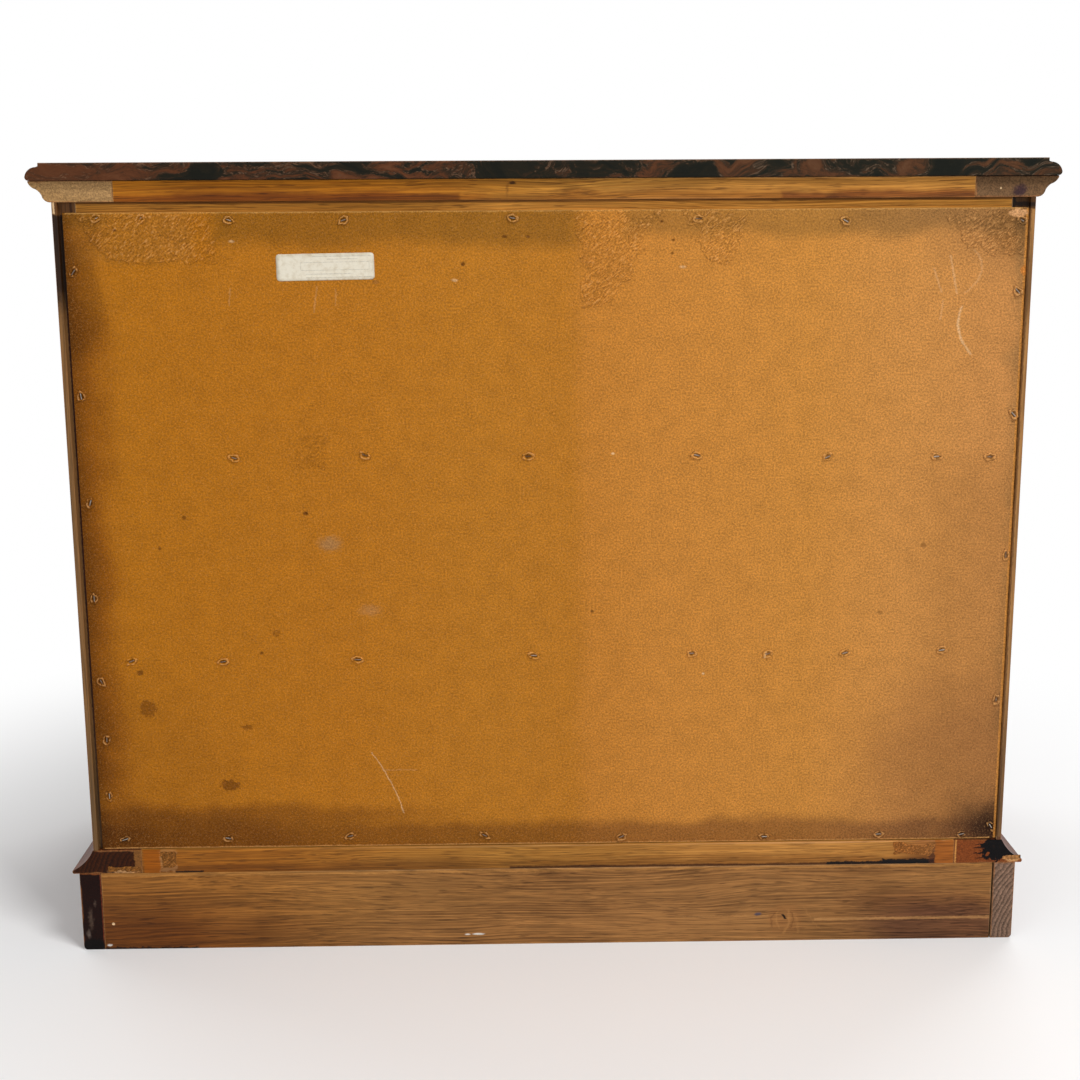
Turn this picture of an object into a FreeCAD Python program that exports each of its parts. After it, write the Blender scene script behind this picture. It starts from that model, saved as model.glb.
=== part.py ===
"""Chest of three drawers with a stone top, in millimetres.

The chest stands on the XY plane with its front towards -Y. The origin is on the floor, under the middle of
its overall box. Left and right are as seen from the front, so left is -X. Every board, slab and fitting is a
closed solid of its own, and each file in parts/ is a node named as a cabinet maker would name the piece.
"""
import FreeCAD, Part

import math
import os

from FreeCAD import Vector

# Case: width over the side panels, depth from the face of the stiles to the back edges
CASE_WIDTH = 914.4
CASE_DEPTH = 406.4
CASE_HEIGHT = 636.0
SIDE_THICKNESS = 20.5
STILE_WIDTH = 38.0
STILE_THICKNESS = 20.5
TOP_RAIL_HEIGHT = 58.0
TONGUE_THICKNESS = 6.5
TONGUE_LENGTH = 7.0
TENON_LENGTH = 24.0
TENON_SHOULDER = 8.0

# Back panel of hardboard in a rabbet, set off centre by its play
RABBET_DEPTH = 6.0
RABBET_LIP = 5.0
BACK_PANEL_THICKNESS = 3.2
BACK_PANEL_PLAY_LEFT = 0.3
BACK_PANEL_PLAY_RIGHT = 3.8
BACK_PANEL_TOP_GAP = 9.5
BACK_PANEL_BOTTOM_GAP = 0.6
BACK_TOP_RAIL_THICKNESS = 19.0
BACK_BOTTOM_RAIL_DEPTH = 20.0
BACK_BOTTOM_RAIL_HEIGHT = 19.0

# Dust frames between the drawers; the openings grow by one step from the top drawer to the bottom one
BLADE_THICKNESS = 19.0
BLADE_DEPTH = 57.0
RUNNER_WIDTH = 57.0
HOUSING_DEPTH = 5.0
DUST_PANEL_THICKNESS = 4.8
DUST_GROOVE_DEPTH = 8.0
DUST_PANEL_PLAY = 0.5
OPENING_STEP = 7.0
KICKER_WIDTH = 30.0
KICKER_THICKNESS = 19.0
GUIDE_WIDTH = 20.0
GUIDE_HEIGHT = 7.0

# Frame under the slab
TOP_FRAME_THICKNESS = 19.5
TOP_FRAME_OVERHANG = 20.5
TOP_FRAME_RAIL_WIDTH = 77.7

# Stone slab
STONE_THICKNESS = 16.0
STONE_OVERHANG = 21.2
STONE_BACK_OVERHANG = 6.0

# Base frame and plinth
BASE_FRAME_THICKNESS = 24.5
BASE_FRAME_OVERHANG = 22.4
BASE_FRAME_RAIL_WIDTH = 70.0
PLINTH_HEIGHT = 82.0
PLINTH_THICKNESS = 21.5
PLINTH_SET_IN = 6.8
PLINTH_EDGE_RADIUS = 4.0
PLINTH_BACK_PLAY = 1.6
GLUE_BLOCK_SIZE = 32.0
GLUE_BLOCK_HEIGHT = 66.0

# Drawer boxes
DRAWER_FRONT_THICKNESS = 20.0
DRAWER_SIDE_THICKNESS = 12.7
DRAWER_BOTTOM_THICKNESS = 5.0
DRAWER_BOTTOM_LIFT = 12.0
DRAWER_GROOVE_DEPTH = 6.0
DRAWER_BOTTOM_PLAY = 0.5
DRAWER_BACK_DROP = 6.0
GAP_BESIDE_FRONT = 1.2
GAP_ABOVE_FRONT = 1.5
GAP_BELOW_FRONT = 1.0
GAP_ABOVE_SIDE = 5.0
GAP_ON_RUNNER = 0.3
GAP_BEHIND_DRAWER = 12.4
GUIDE_CLEARANCE = 1.0
CENTRE_RUNNER_CHEEK = 6.0
BEAD_RADIUS = 1.6

# Dovetails
TAIL_PITCH = 42.0
PIN_WIDTH = 7.0
TAIL_SLOPE = 1 / 6
LAP_THICKNESS = 6.0

# Eight-sided bail pulls, two on each drawer
PULL_OFFSET = 250.0
PULL_RISE = 12.0
POST_SPACING = 76.2
POST_REACH = 20.0
POST_HEAD_FLATS = 11.0
POST_HEAD_LENGTH = 9.0
POST_HEAD_CHAMFER = 1.2
POST_NECK_FLATS = 6.6
ROSETTE_FLATS = 28.0
ROSETTE_EDGE = 1.3
ROSETTE_RISE = 3.4
ROSETTE_BOSS_FLATS = 11.0
BAIL_DROP = 32.0
BAIL_FLATS = 5.2
GRIP_FLATS = 7.4
BAIL_SHOULDER_LENGTH = 1.6
BAIL_SHOULDER_BEVEL = 4.0
BAIL_CORNER_RADIUS = 12.0
BAIL_CORNER_STEPS = 6
BAIL_PIN_RADIUS = 1.8
BAIL_PIN_CLEARANCE = 0.1
BAIL_PIN_INSET = 3.0
BAIL_HEAD_GAP = 0.5

# Places that follow from the sizes above
CASE_HALF = CASE_WIDTH / 2
FRONT_REACH = max(TOP_FRAME_OVERHANG, STONE_OVERHANG, BASE_FRAME_OVERHANG, POST_REACH)
FRONT = (FRONT_REACH - STONE_BACK_OVERHANG - CASE_DEPTH) / 2
BACK = FRONT + CASE_DEPTH
RABBET_FLOOR = BACK - RABBET_DEPTH
SIDE_INNER = CASE_HALF - SIDE_THICKNESS
HOUSING_FLOOR = SIDE_INNER + HOUSING_DEPTH
STILE_INNER = CASE_HALF - STILE_WIDTH
STILE_BACK = FRONT + STILE_THICKNESS

CASE_BOTTOM = PLINTH_HEIGHT + BASE_FRAME_THICKNESS
CASE_TOP = CASE_BOTTOM + CASE_HEIGHT
STONE_BOTTOM = CASE_TOP + TOP_FRAME_THICKNESS
STONE_TOP = STONE_BOTTOM + STONE_THICKNESS
TOP_RAIL_BOTTOM = CASE_TOP - TOP_RAIL_HEIGHT

OPENINGS_HEIGHT = CASE_HEIGHT - TOP_RAIL_HEIGHT - 2 * BLADE_THICKNESS
MIDDLE_OPENING = OPENINGS_HEIGHT / 3
BOTTOM_OPENING = MIDDLE_OPENING + OPENING_STEP
TOP_OPENING = MIDDLE_OPENING - OPENING_STEP
LOWER_BLADE_BOTTOM = CASE_BOTTOM + BOTTOM_OPENING
UPPER_BLADE_BOTTOM = LOWER_BLADE_BOTTOM + BLADE_THICKNESS + MIDDLE_OPENING

# Each drawer's name, the level its runners give it and the height of its opening
DRAWERS = (
    ("bottom_drawer", CASE_BOTTOM, BOTTOM_OPENING),
    ("middle_drawer", LOWER_BLADE_BOTTOM + BLADE_THICKNESS, MIDDLE_OPENING),
    ("top_drawer", UPPER_BLADE_BOTTOM + BLADE_THICKNESS, TOP_OPENING),
)
DRAWER_HALF = STILE_INNER - GAP_BESIDE_FRONT
DRAWER_INNER = DRAWER_HALF - DRAWER_SIDE_THICKNESS
DRAWER_FRONT_BACK = FRONT + DRAWER_FRONT_THICKNESS
GUIDE_BACK = RABBET_FLOOR - BACK_BOTTOM_RAIL_DEPTH
DRAWER_END = GUIDE_BACK - GAP_BEHIND_DRAWER
DRAWER_BACK_FACE = DRAWER_END - DRAWER_SIDE_THICKNESS

# Bail: its hinge line's distance from the drawer front, and where its shoulders start beside the heads
HINGE_REACH = POST_REACH - POST_HEAD_LENGTH / 2
BAIL_SHOULDER = (POST_SPACING + POST_HEAD_FLATS) / 2 + BAIL_HEAD_GAP


def box(x, y, z):
    """Box between two places on each axis."""
    return Part.makeBox(x[1] - x[0], y[1] - y[0], z[1] - z[0], Vector(x[0], y[0], z[0]))


def mirrored(shape):
    """The same shape on the other side of the chest's middle plane."""
    return shape.mirror(Vector(0, 0, 0), Vector(1, 0, 0))


def polygon_face(corners):
    """Flat face on a ring of corners."""
    return Part.Face(Part.makePolygon([*corners, corners[0]]))


def prism(corners, direction):
    """Straight-sided prism on a polygon."""
    return polygon_face(corners).extrude(direction)


def outline_face(start, steps, place):
    """Face inside an outline; a step of one point is a line to it, a step of two is an arc through the first."""
    edges = []
    here = place(*start)
    for step in [*steps, (start,)]:
        points = [place(*point) for point in step]
        if len(points) == 2:
            edges.append(Part.Arc(here, points[0], points[1]).toShape())
        else:
            edges.append(Part.makeLine(here, points[0]))
        here = points[-1]
    return Part.Face(Part.Wire(edges))


def front_wedge():
    """Everything in front of the two 45 degree planes that pass through the case's front corners."""
    margin = max(TOP_FRAME_RAIL_WIDTH, BASE_FRAME_RAIL_WIDTH)
    corners = [
        Vector(0, FRONT + CASE_HALF, -margin),
        Vector(CASE_HALF + margin, FRONT - margin, -margin),
        Vector(-CASE_HALF - margin, FRONT - margin, -margin),
    ]
    return prism(corners, Vector(0, 0, STONE_TOP + 2 * margin))


def mitred_rails(start, steps, back):
    """Left, right and front rails of one section, with mitred front corners.

    The section is in (out, up) coordinates: out from the face of the case, up from the floor.
    """
    overrun = max(BASE_FRAME_OVERHANG, STONE_OVERHANG, TOP_FRAME_OVERHANG) * 2
    far_front = FRONT - overrun
    far_side = CASE_HALF + overrun
    wedge = front_wedge()
    side_face = outline_face(start, steps, lambda out, up: Vector(CASE_HALF + out, far_front, up))
    front_face = outline_face(start, steps, lambda out, up: Vector(-far_side, FRONT - out, up))
    right = side_face.extrude(Vector(0, back - far_front, 0)).cut(wedge)
    front = front_face.extrude(Vector(2 * far_side, 0, 0)).common(wedge)
    return mirrored(right), right, front


def stone_top():
    """Slab with a fillet and an ovolo worked on its front and sides, and a sawn back edge."""
    edge = STONE_OVERHANG
    top = STONE_TOP
    steps = [
        ((edge - 12.6, top),),
        ((edge - 12.6, top - 3.0),),
        ((edge - 10.4, top - 3.8),),
        ((edge - 3.3, top - 6.6), (edge, top - 12.4)),
        ((edge - 0.8, top - 15.0), (edge - 3.0, STONE_BOTTOM)),
        ((0, STONE_BOTTOM),),
    ]
    back = BACK + STONE_BACK_OVERHANG
    left, right, front = mitred_rails((0, top), steps, back)
    middle = box((-CASE_HALF, CASE_HALF), (FRONT, back), (STONE_BOTTOM, STONE_TOP))
    return middle.fuse([left, right, front]).removeSplitter()


def top_frame():
    """Flat frame under the slab, with an ogee worked on the outer edges of its left, right and front rails."""
    edge = TOP_FRAME_OVERHANG
    top = STONE_BOTTOM
    inner = edge - TOP_FRAME_RAIL_WIDTH
    steps = [
        ((edge, top),),
        ((edge, top - 1.5),),
        ((edge - 2.4, top - 5.0), (edge - 6.9, top - 7.6)),
        ((edge - 9.9, top - 10.0), (edge - 12.1, top - 13.2)),
        ((edge - 14.6, top - 17.6), (edge - 20.0, CASE_TOP)),
        ((inner, CASE_TOP),),
    ]
    left, right, front = mitred_rails((inner, top), steps, BACK)
    half = CASE_HALF + inner
    back = box((-half, half), (BACK - TOP_FRAME_RAIL_WIDTH, BACK), (CASE_TOP, STONE_BOTTOM))
    return {
        "top_frame_left": left,
        "top_frame_right": right,
        "top_frame_front": front,
        "top_frame_back": back,
    }


def base_frame():
    """Flat frame under the case, with a cove worked on the outer edges of its left, right and front rails."""
    edge = BASE_FRAME_OVERHANG
    low = PLINTH_HEIGHT
    inner = edge - BASE_FRAME_RAIL_WIDTH
    steps = [
        ((edge - 21.6, CASE_BOTTOM),),
        ((edge - 12.6, low + 11.6), (edge - 0.4, low + 3.4)),
        ((edge, low + 2.0), (edge - 1.2, low)),
        ((inner, low),),
    ]
    left, right, front = mitred_rails((inner, CASE_BOTTOM), steps, BACK)
    half = CASE_HALF + inner
    back = box((-half, half), (BACK - BASE_FRAME_RAIL_WIDTH, BACK), (PLINTH_HEIGHT, CASE_BOTTOM))
    return {
        "base_frame_left": left,
        "base_frame_right": right,
        "base_frame_front": front,
        "base_frame_back": back,
    }


def plinth():
    """Plinth boards with an eased lower edge, a back board between the sides and glue blocks in the corners."""
    edge = BASE_FRAME_OVERHANG - PLINTH_SET_IN
    inner = edge - PLINTH_THICKNESS
    radius = PLINTH_EDGE_RADIUS
    bend = radius * (1 - math.sqrt(0.5))
    steps = [
        ((edge, PLINTH_HEIGHT),),
        ((edge, radius),),
        ((edge - bend, bend), (edge - radius, 0)),
        ((inner, 0),),
    ]
    left, right, front = mitred_rails((inner, PLINTH_HEIGHT), steps, BACK)
    half = CASE_HALF + inner
    back_inner = BACK - PLINTH_THICKNESS
    back = box((PLINTH_BACK_PLAY - half, half), (back_inner, BACK), (0, PLINTH_HEIGHT))
    block_bottom = PLINTH_HEIGHT - GLUE_BLOCK_HEIGHT
    blocks = []
    for corner_y, along in ((FRONT - inner, 1), (back_inner, -1)):
        corners = [
            Vector(half, corner_y, block_bottom),
            Vector(half - GLUE_BLOCK_SIZE, corner_y, block_bottom),
            Vector(half, corner_y + along * GLUE_BLOCK_SIZE, block_bottom),
        ]
        block = prism(corners, Vector(0, 0, GLUE_BLOCK_HEIGHT))
        blocks += [block, mirrored(block)]
    return {
        "plinth_left": left,
        "plinth_right": right,
        "plinth_front": front,
        "plinth_back": back,
        "plinth_glue_blocks": blocks,
    }


def side_and_stile():
    """Right side panel with its rabbet and housings, and the right stile that its tongue enters."""
    middle = (CASE_HALF + SIDE_INNER) / 2
    tongue_x = (middle - TONGUE_THICKNESS / 2, middle + TONGUE_THICKNESS / 2)
    tongue = box(tongue_x, (STILE_BACK - TONGUE_LENGTH, STILE_BACK), (CASE_BOTTOM, CASE_TOP))
    panel = box((SIDE_INNER, CASE_HALF), (STILE_BACK, BACK), (CASE_BOTTOM, CASE_TOP)).fuse(tongue)
    cuts = [box((SIDE_INNER, CASE_HALF - RABBET_LIP), (RABBET_FLOOR, BACK), (CASE_BOTTOM, CASE_TOP))]
    for low in (LOWER_BLADE_BOTTOM, UPPER_BLADE_BOTTOM):
        cuts.append(box((SIDE_INNER, HOUSING_FLOOR), (STILE_BACK, RABBET_FLOOR), (low, low + BLADE_THICKNESS)))
    stile = box((STILE_INNER, CASE_HALF), (FRONT, STILE_BACK), (CASE_BOTTOM, CASE_TOP))
    stile = stile.cut([tongue, top_rail_tenon()])
    return panel.cut(cuts).removeSplitter(), stile


def top_rail_tenon():
    """Tenon on the right end of the front top rail."""
    middle = FRONT + STILE_THICKNESS / 2
    return box(
        (STILE_INNER, STILE_INNER + TENON_LENGTH),
        (middle - TONGUE_THICKNESS / 2, middle + TONGUE_THICKNESS / 2),
        (TOP_RAIL_BOTTOM + TENON_SHOULDER, CASE_TOP - TENON_SHOULDER),
    )


def case_rails():
    """Front top rail between the stiles, and the two back rails that the back panel is stapled to."""
    tenon = top_rail_tenon()
    front_top = box((-STILE_INNER, STILE_INNER), (FRONT, STILE_BACK), (TOP_RAIL_BOTTOM, CASE_TOP))
    across = (-SIDE_INNER, SIDE_INNER)
    return {
        "front_top_rail": front_top.fuse([tenon, mirrored(tenon)]),
        "back_top_rail": box(
            across, (RABBET_FLOOR - BACK_TOP_RAIL_THICKNESS, RABBET_FLOOR), (TOP_RAIL_BOTTOM, CASE_TOP)
        ),
        "back_bottom_rail": box(
            across, (GUIDE_BACK, RABBET_FLOOR), (CASE_BOTTOM, CASE_BOTTOM + BACK_BOTTOM_RAIL_HEIGHT)
        ),
    }


def back_panel():
    """Hardboard back, nailed against the rails in the rabbet of the side panels."""
    reach = CASE_HALF - RABBET_LIP
    return box(
        (BACK_PANEL_PLAY_LEFT - reach, reach - BACK_PANEL_PLAY_RIGHT),
        (RABBET_FLOOR, RABBET_FLOOR + BACK_PANEL_THICKNESS),
        (CASE_BOTTOM + BACK_PANEL_BOTTOM_GAP, CASE_TOP - BACK_PANEL_TOP_GAP),
    )


def dust_frame(low):
    """Blade, pair of runners, back rail and dust panel that part two drawers, from their lower face up."""
    high = low + BLADE_THICKNESS
    middle = low + BLADE_THICKNESS / 2
    groove_z = (middle - DUST_PANEL_THICKNESS / 2, middle + DUST_PANEL_THICKNESS / 2)
    blade_back = FRONT + BLADE_DEPTH
    rail_front = RABBET_FLOOR - BLADE_DEPTH
    runner_inner = HOUSING_FLOOR - RUNNER_WIDTH
    between = (-HOUSING_FLOOR, HOUSING_FLOOR)

    front_groove = box(between, (blade_back - DUST_GROOVE_DEPTH, blade_back), groove_z)
    back_groove = box(between, (rail_front, rail_front + DUST_GROOVE_DEPTH), groove_z)
    nose = box((-STILE_INNER, STILE_INNER), (FRONT, STILE_BACK), (low, high))
    blade = box(between, (STILE_BACK, blade_back), (low, high)).fuse(nose).cut(front_groove)
    rail = box(between, (rail_front, RABBET_FLOOR), (low, high)).cut(back_groove)

    ends = (blade_back - DUST_GROOVE_DEPTH, rail_front + DUST_GROOVE_DEPTH)
    beam = box((runner_inner, HOUSING_FLOOR), (blade_back, rail_front), (low, high))
    tongues = box((runner_inner, HOUSING_FLOOR), ends, groove_z)
    side_groove = box((runner_inner, runner_inner + DUST_GROOVE_DEPTH), ends, groove_z)
    runner = beam.fuse(tongues).cut(side_groove)

    reach = runner_inner + DUST_GROOVE_DEPTH - DUST_PANEL_PLAY
    panel = box((-reach, reach), (ends[0] + DUST_PANEL_PLAY, ends[1] - DUST_PANEL_PLAY), groove_z)
    return blade.removeSplitter(), [runner.removeSplitter(), mirrored(runner.removeSplitter())], rail, panel


def kickers():
    """Strips on the side panels that keep the top drawer from tipping as it is drawn out."""
    kicker = box(
        (SIDE_INNER - KICKER_WIDTH, SIDE_INNER),
        (STILE_BACK, RABBET_FLOOR - BACK_TOP_RAIL_THICKNESS),
        (TOP_RAIL_BOTTOM, TOP_RAIL_BOTTOM + KICKER_THICKNESS),
    )
    return [kicker, mirrored(kicker)]


def centre_guide(level):
    """Rail that a drawer's grooved runner follows; its front end stops the drawer."""
    return box(
        (-GUIDE_WIDTH / 2, GUIDE_WIDTH / 2),
        (DRAWER_FRONT_BACK + GAP_ON_RUNNER, GUIDE_BACK),
        (level, level + GUIDE_HEIGHT),
    )


def dovetails(root, tip, low, high):
    """Row of tails on the end of a right drawer side, between two heights, narrow at the root, wide at the tip."""
    count = max(2, round((high - low) / TAIL_PITCH))
    pitch = (high - low) / count
    wide = (pitch - PIN_WIDTH) / 2
    narrow = wide - abs(tip - root) * TAIL_SLOPE
    tails = []
    for index in range(count):
        middle = low + pitch * (index + 0.5)
        corners = [
            Vector(DRAWER_INNER, root, middle - narrow),
            Vector(DRAWER_INNER, root, middle + narrow),
            Vector(DRAWER_INNER, tip, middle + wide),
            Vector(DRAWER_INNER, tip, middle - wide),
        ]
        tails.append(prism(corners, Vector(DRAWER_SIDE_THICKNESS, 0, 0)))
    return tails


def bead(x, z):
    """Half-round bead worked around a drawer front, mitred at its corners."""
    radius = BEAD_RADIUS
    width = x[1] - x[0]
    height = z[1] - z[0]
    lower = Part.makeCylinder(radius, width, Vector(x[0], FRONT, z[0] + radius), Vector(1, 0, 0))
    upper = Part.makeCylinder(radius, width, Vector(x[0], FRONT, z[1] - radius), Vector(1, 0, 0))
    left = Part.makeCylinder(radius, height, Vector(x[0] + radius, FRONT, z[0]), Vector(0, 0, 1))
    right = Part.makeCylinder(radius, height, Vector(x[1] - radius, FRONT, z[0]), Vector(0, 0, 1))
    down = Vector(0, 2 * radius, 0)
    start = FRONT - radius
    half = height / 2
    left_wedge = prism(
        [Vector(x[0], start, z[0]), Vector(x[0] + half, start, z[0] + half), Vector(x[0], start, z[1])], down
    )
    right_wedge = prism(
        [Vector(x[1], start, z[0]), Vector(x[1] - half, start, z[0] + half), Vector(x[1], start, z[1])], down
    )
    level_strips = [strip.cut([left_wedge, right_wedge]) for strip in (lower, upper)]
    return [*level_strips, left.common(left_wedge), right.common(right_wedge)]


def drawer_box(level, opening):
    """Dovetailed drawer: lapped dovetails at the front, through dovetails at the back, bottom in grooves."""
    front_z = (level + GAP_BELOW_FRONT, level + opening - GAP_ABOVE_FRONT)
    side_z = (level + GAP_ON_RUNNER, level + opening - GAP_ABOVE_SIDE)
    bottom_z = (side_z[0] + DRAWER_BOTTOM_LIFT, side_z[0] + DRAWER_BOTTOM_LIFT + DRAWER_BOTTOM_THICKNESS)
    back_z = (bottom_z[1], side_z[1] - DRAWER_BACK_DROP)
    across = (-DRAWER_HALF, DRAWER_HALF)
    groove_reach = DRAWER_INNER + DRAWER_GROOVE_DEPTH
    groove_front = DRAWER_FRONT_BACK - DRAWER_GROOVE_DEPTH

    front_tails = dovetails(DRAWER_FRONT_BACK, FRONT + LAP_THICKNESS, front_z[0], side_z[1])
    back_tails = dovetails(DRAWER_BACK_FACE, DRAWER_END, *back_z)
    groove = box((-groove_reach, groove_reach), (groove_front, DRAWER_END), bottom_z)

    side = box((DRAWER_INNER, DRAWER_HALF), (DRAWER_FRONT_BACK, DRAWER_END), side_z)
    side = side.cut(box((DRAWER_INNER, DRAWER_HALF), (DRAWER_BACK_FACE, DRAWER_END), back_z))
    side = side.fuse([*front_tails, *back_tails]).cut(groove).removeSplitter()

    tails = [*front_tails, *(mirrored(tail) for tail in front_tails)]
    front = box(across, (FRONT, DRAWER_FRONT_BACK), front_z).fuse(bead(across, front_z))
    front = front.cut([*tails, groove]).removeSplitter()
    tails = [*back_tails, *(mirrored(tail) for tail in back_tails)]
    back = box(across, (DRAWER_BACK_FACE, DRAWER_END), back_z).cut(tails)

    reach = groove_reach - DRAWER_BOTTOM_PLAY
    bottom = box((-reach, reach), (groove_front + DRAWER_BOTTOM_PLAY, DRAWER_END), bottom_z)
    return front, side, back, bottom, bottom_z[0]


def centre_runner(level, top):
    """Grooved runner under a drawer's bottom that straddles the centre guide."""
    slot = GUIDE_WIDTH / 2 + GUIDE_CLEARANCE
    reach = slot + CENTRE_RUNNER_CHEEK
    length = (DRAWER_FRONT_BACK, DRAWER_END)
    body = box((-reach, reach), length, (level + GUIDE_CLEARANCE, top))
    return body.cut(box((-slot, slot), length, (level, level + GUIDE_HEIGHT + GUIDE_CLEARANCE)))


def octagon(centre, flats, first, second):
    """Corners of an eight-sided section; its two half-axes are given, and its flats lie square to them."""
    corner = flats / 2 / math.cos(math.radians(22.5))
    turns = [math.radians(22.5 + 45 * index) for index in range(8)]
    return [centre + first * (corner * math.cos(turn)) + second * (corner * math.sin(turn)) for turn in turns]


def faceted(rings):
    """Solid with flat sides from each ring of corners to the next, closed at both ends."""
    faces = [polygon_face(rings[0]), polygon_face(rings[-1])]
    for near, far in zip(rings, rings[1:]):
        for index, corner in enumerate(near):
            before = index - 1
            faces.append(polygon_face([near[before], corner, far[index], far[before]]))
    solid = Part.Solid(Part.Shell(faces))
    solid.fixTolerance(1e-7)
    return solid if solid.Volume > 0 else solid.reversed()


def pull_post():
    """Eight-sided post on the Y axis with its rosette and drilled head; the drawer front's face is at y = 0."""
    x_way, z_way = Vector(1, 0, 0), Vector(0, 0, 1)
    head = POST_REACH - POST_HEAD_LENGTH
    flare = (POST_HEAD_FLATS - POST_NECK_FLATS) / 2
    sections = [
        (0, ROSETTE_FLATS),
        (ROSETTE_EDGE, ROSETTE_FLATS),
        (ROSETTE_RISE, ROSETTE_BOSS_FLATS),
        (ROSETTE_RISE, POST_NECK_FLATS),
        (head, POST_NECK_FLATS),
        (head + flare, POST_HEAD_FLATS),
        (POST_REACH - POST_HEAD_CHAMFER, POST_HEAD_FLATS),
        (POST_REACH, POST_HEAD_FLATS - 2 * POST_HEAD_CHAMFER),
    ]
    post = faceted([octagon(Vector(0, -reach, 0), flats, x_way, z_way) for reach, flats in sections])
    radius = BAIL_PIN_RADIUS + BAIL_PIN_CLEARANCE
    start = Vector(-POST_HEAD_FLATS / 2, -HINGE_REACH, 0)
    return post.cut(Part.makeCylinder(radius, POST_HEAD_FLATS, start, x_way))


def bail():
    """Bail that hangs plumb from the X axis: round pins, bevelled shoulders, round corners, a swelling grip."""
    x_way, y_way, z_way = Vector(1, 0, 0), Vector(0, 1, 0), Vector(0, 0, 1)
    turn_x = BAIL_SHOULDER + BAIL_SHOULDER_LENGTH
    arm_x = turn_x + BAIL_SHOULDER_BEVEL
    grip_x = arm_x - BAIL_CORNER_RADIUS
    arm_low = BAIL_CORNER_RADIUS - BAIL_DROP
    pin_start = POST_SPACING / 2 - BAIL_PIN_INSET
    pin = Part.makeCylinder(BAIL_PIN_RADIUS, BAIL_SHOULDER - pin_start, Vector(pin_start, 0, 0), x_way)

    half_turn = math.tan(math.radians(22.5))
    rings = [
        octagon(Vector(BAIL_SHOULDER, 0, 0), BAIL_FLATS, y_way, z_way),
        octagon(Vector(turn_x, 0, 0), BAIL_FLATS, y_way, z_way + x_way * half_turn),
        octagon(Vector(arm_x, 0, -BAIL_SHOULDER_BEVEL), BAIL_FLATS, y_way, x_way + z_way * half_turn),
    ]
    for step in range(BAIL_CORNER_STEPS + 1):
        turn = math.pi / 2 * step / BAIL_CORNER_STEPS
        outward = x_way * math.cos(turn) - z_way * math.sin(turn)
        centre = Vector(grip_x, 0, arm_low) + outward * BAIL_CORNER_RADIUS
        rings.append(octagon(centre, BAIL_FLATS, y_way, outward))
    rings.append(octagon(Vector(0, 0, -BAIL_DROP), GRIP_FLATS, y_way, -z_way))
    half = pin.fuse(faceted(rings))
    return half.fuse(mirrored(half)).removeSplitter()


def at(shape, x, y, z):
    """Copy of a shape, moved."""
    copy = shape.copy()
    copy.translate(Vector(x, y, z))
    return copy


def drawer(name, level, opening):
    """All nodes of one drawer: its box, its centre runner and its two bail pulls."""
    front, side, back, bottom, runner_top = drawer_box(level, opening)
    hinge_z = level + opening / 2 + PULL_RISE
    posts = []
    for pull_x in (-PULL_OFFSET, PULL_OFFSET):
        for post_x in (pull_x - POST_SPACING / 2, pull_x + POST_SPACING / 2):
            posts.append(at(pull_post(), post_x, FRONT, hinge_z))
    hinge_y = FRONT - HINGE_REACH
    return {
        name + "_front": front,
        name + "_side_left": mirrored(side),
        name + "_side_right": side,
        name + "_back": back,
        name + "_bottom": bottom,
        name + "_centre_runner": centre_runner(level, runner_top),
        name + "_pull_posts": posts,
        name + "_bail_left": at(bail(), -PULL_OFFSET, hinge_y, hinge_z),
        name + "_bail_right": at(bail(), PULL_OFFSET, hinge_y, hinge_z),
    }


def chest():
    """Every node of the chest, by name."""
    nodes = {"stone_top": stone_top()}
    nodes |= top_frame() | base_frame() | plinth() | case_rails()
    panel, stile = side_and_stile()
    nodes |= {"side_panel_left": mirrored(panel), "side_panel_right": panel}
    nodes |= {"front_stile_left": mirrored(stile), "front_stile_right": stile}
    nodes["back_panel"] = back_panel()
    lower_blade, lower_runners, lower_rail, lower_panel = dust_frame(LOWER_BLADE_BOTTOM)
    upper_blade, upper_runners, upper_rail, upper_panel = dust_frame(UPPER_BLADE_BOTTOM)
    nodes["lower_drawer_blade"] = lower_blade
    nodes["upper_drawer_blade"] = upper_blade
    nodes["drawer_runners"] = [*lower_runners, *upper_runners]
    nodes["dust_frame_back_rails"] = [lower_rail, upper_rail]
    nodes["dust_panels"] = [lower_panel, upper_panel]
    nodes["drawer_kickers"] = kickers()
    nodes["centre_guides"] = [centre_guide(level) for _, level, _ in DRAWERS]
    for name, level, opening in DRAWERS:
        nodes |= drawer(name, level, opening)
    return nodes


def main():
    """Write one STEP file for each node."""
    os.makedirs("parts", exist_ok=True)
    for name, shape in chest().items():
        solids = shape if isinstance(shape, list) else shape.Solids
        node = solids[0] if len(solids) == 1 else Part.makeCompound(solids)
        node.exportStep(f"parts/{name}.step")


if __name__ == "__main__":
    main()
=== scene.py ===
"""Dresses a chest of three drawers with a stone top, seen from behind.

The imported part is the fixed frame: metres, +Z up, the front towards -Y. The photograph looks at
the hardboard back, so its right is -X here. Places on the back are given in millimetres: across
from the chest's middle towards the photograph's right, and up from the floor.
"""

import logging
import math
from collections.abc import Callable, Sequence
from dataclasses import dataclass
from enum import Enum
from functools import cache, partial

import bmesh
import bpy
import numpy as np
from mathutils import Matrix, Vector


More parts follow.
